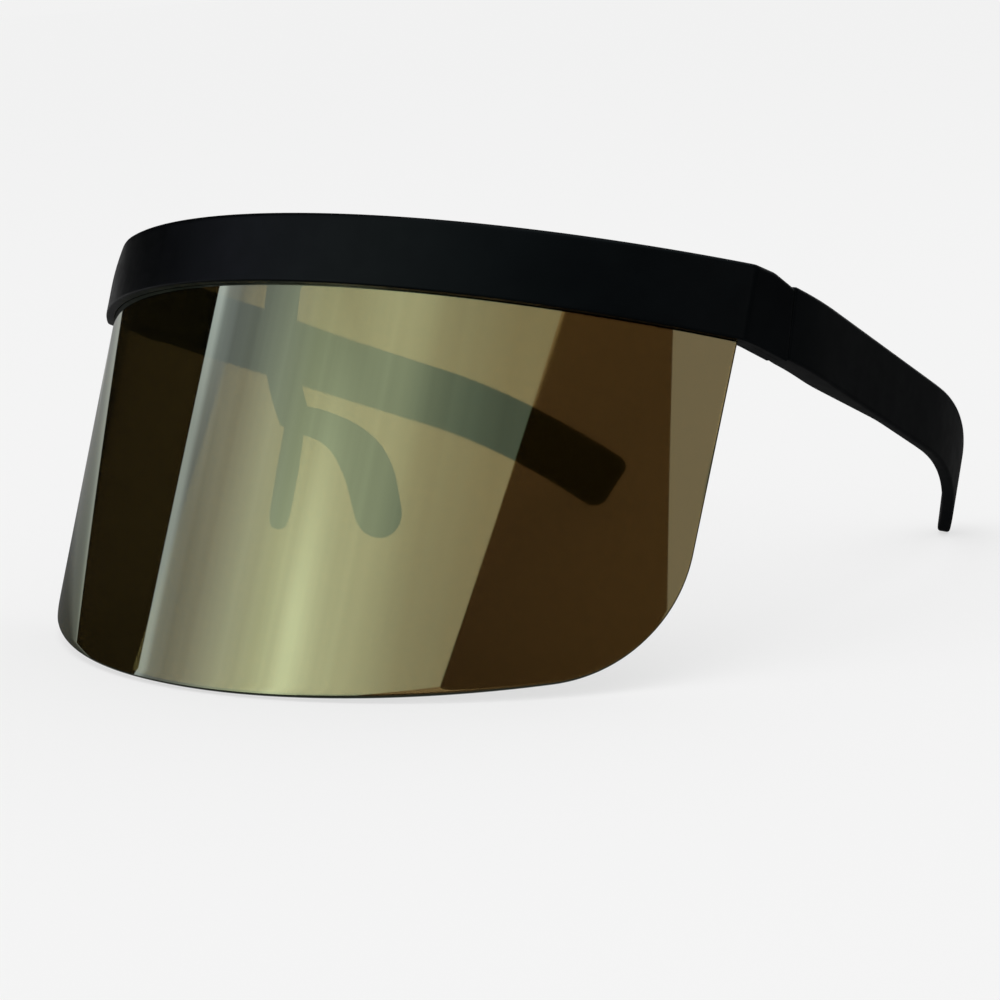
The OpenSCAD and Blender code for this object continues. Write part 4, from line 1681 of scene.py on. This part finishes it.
    def mirrored_floor(self) -> None:
        """Let mirrors see the floor dimmer than it is, but for a glow behind the object."""
        radius = np.array([0.0, self.ring_r])[:, None]
        turn = np.linspace(0, 2 * math.pi, self.ring_steps[1] + 1)
        x, y = radius * np.cos(turn), radius * np.sin(turn)
        grid = np.stack([x, y, np.full_like(x, self.layer)], -1)
        shine = Shine("dim floor")
        axes = shine.axes()
        glow = shine.math("MULTIPLY", shine.profile(axes["X"], self.far_glow),
                          shine.span(axes["Y"], self.glow_start))
        near = shine.profile(axes["X"], self.dim_floor)
        self.card("dim_floor", grid, shine.strength(shine.math("ADD", near, glow)))

    def lens_panel(self) -> None:
        """Lay the bright panel on the floor behind the glasses, brightest close to them."""
        rear_left, front_left, front_right, rear_right = self.panel_corners
        grid = np.array([[rear_left, rear_right], [front_left, front_right]])
        grid = np.concatenate([grid, np.full((2, 2, 1), 2 * self.layer)], -1)
        shine = Shine("lens panel", self.panel)
        self.card("lens_panel", grid,
                  shine.strength(shine.profile(shine.axes()["Y"], self.panel_light)),
                  "transmission")

    def world(self) -> None:
        """Even pale surroundings."""
        world = bpy.data.worlds.new("surroundings")
        bpy.context.scene.world = world
        world.use_nodes = True
        background = world.node_tree.nodes["Background"]
        background.inputs["Color"].default_value = (*self.pale, 1)
        background.inputs["Strength"].default_value = 1.0

    def floor(self) -> None:
        """Wide floor: mostly its own pale colour, with some catch for the object's shadow."""
        size, level = self.floor_half, -self.layer
        share, white = self.floor_catch
        mesh = bpy.data.meshes.new("floor")
        corners = [(-size, -size, level), (size, -size, level), (size, size, level),
                   (-size, size, level)]
        mesh.from_pydata(corners, [], [(0, 1, 2, 3)])
        shine = Shine("pale floor", self.pale)
        catch = shine.node("BsdfDiffuse", Color=(white, white, white, 1))
        mix = shine.node("MixShader", Fac=share)
        shine.join(shine.glow.outputs["Emission"], mix.inputs[1])
        shine.join(catch.outputs["BSDF"], mix.inputs[2])
        shine.join(mix.outputs["Shader"], shine.output.inputs["Surface"])
        mesh.materials.append(shine.material)
        placed("floor", mesh)

    def lamp(self) -> None:
        """One wide soft lamp overhead, not seen in mirrors or through the lens."""
        light = bpy.data.lights.new("overhead", "AREA")
        light.shape = "DISK"
        light.size = self.lamp_size
        light.energy = self.lamp_power
        lamp = placed("overhead", light)
        lamp.location = self.lamp_place
        lamp.visible_glossy = False
        lamp.visible_transmission = False

    def build(self) -> None:
        """Put up the whole studio."""
        self.world()
        self.floor()
        self.ring()
        self.mirrored_floor()
        self.lens_panel()
        self.lamp()
        bpy.context.scene.view_settings.view_transform = "Standard"


@dataclass
class Camera:
    """Camera at the photograph's place."""

    place: Triple = (0.379947, -0.418821, 0.115403)
    right: Triple = (0.744465, 0.662897, -0.07962)
    up: Triple = (-0.05472, 0.17943, 0.982248)
    back: Triple = (0.665415, -0.726892, 0.169853)
    lens: float = 110.5723
    sensor: float = 36.0
    clip: Range = (0.01, 100.0)

    def build(self) -> None:
        """Make the camera and use it for the scene."""
        data = bpy.data.cameras.new("view")
        data.lens = self.lens
        data.sensor_width = self.sensor
        data.clip_start, data.clip_end = self.clip
        camera = placed("view", data)
        turn = Matrix((self.right, self.up, self.back)).transposed().to_4x4()
        camera.matrix_world = Matrix.Translation(self.place) @ turn
        bpy.context.scene.camera = camera


def main() -> None:
    """Build the pieces in order and set up the studio."""
    logging.basicConfig(level=logging.INFO, format="%(name)s: %(message)s")
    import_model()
    finishes = Finishes()
    temples = [Temple(side) for side in Side]
    for part in (BrowBar(), ShieldLens(), NosePiece(), *temples, Hardware()):
        part.build(finishes)
    Studio().build()
    Camera().build()


if __name__ == "__main__":
    main()
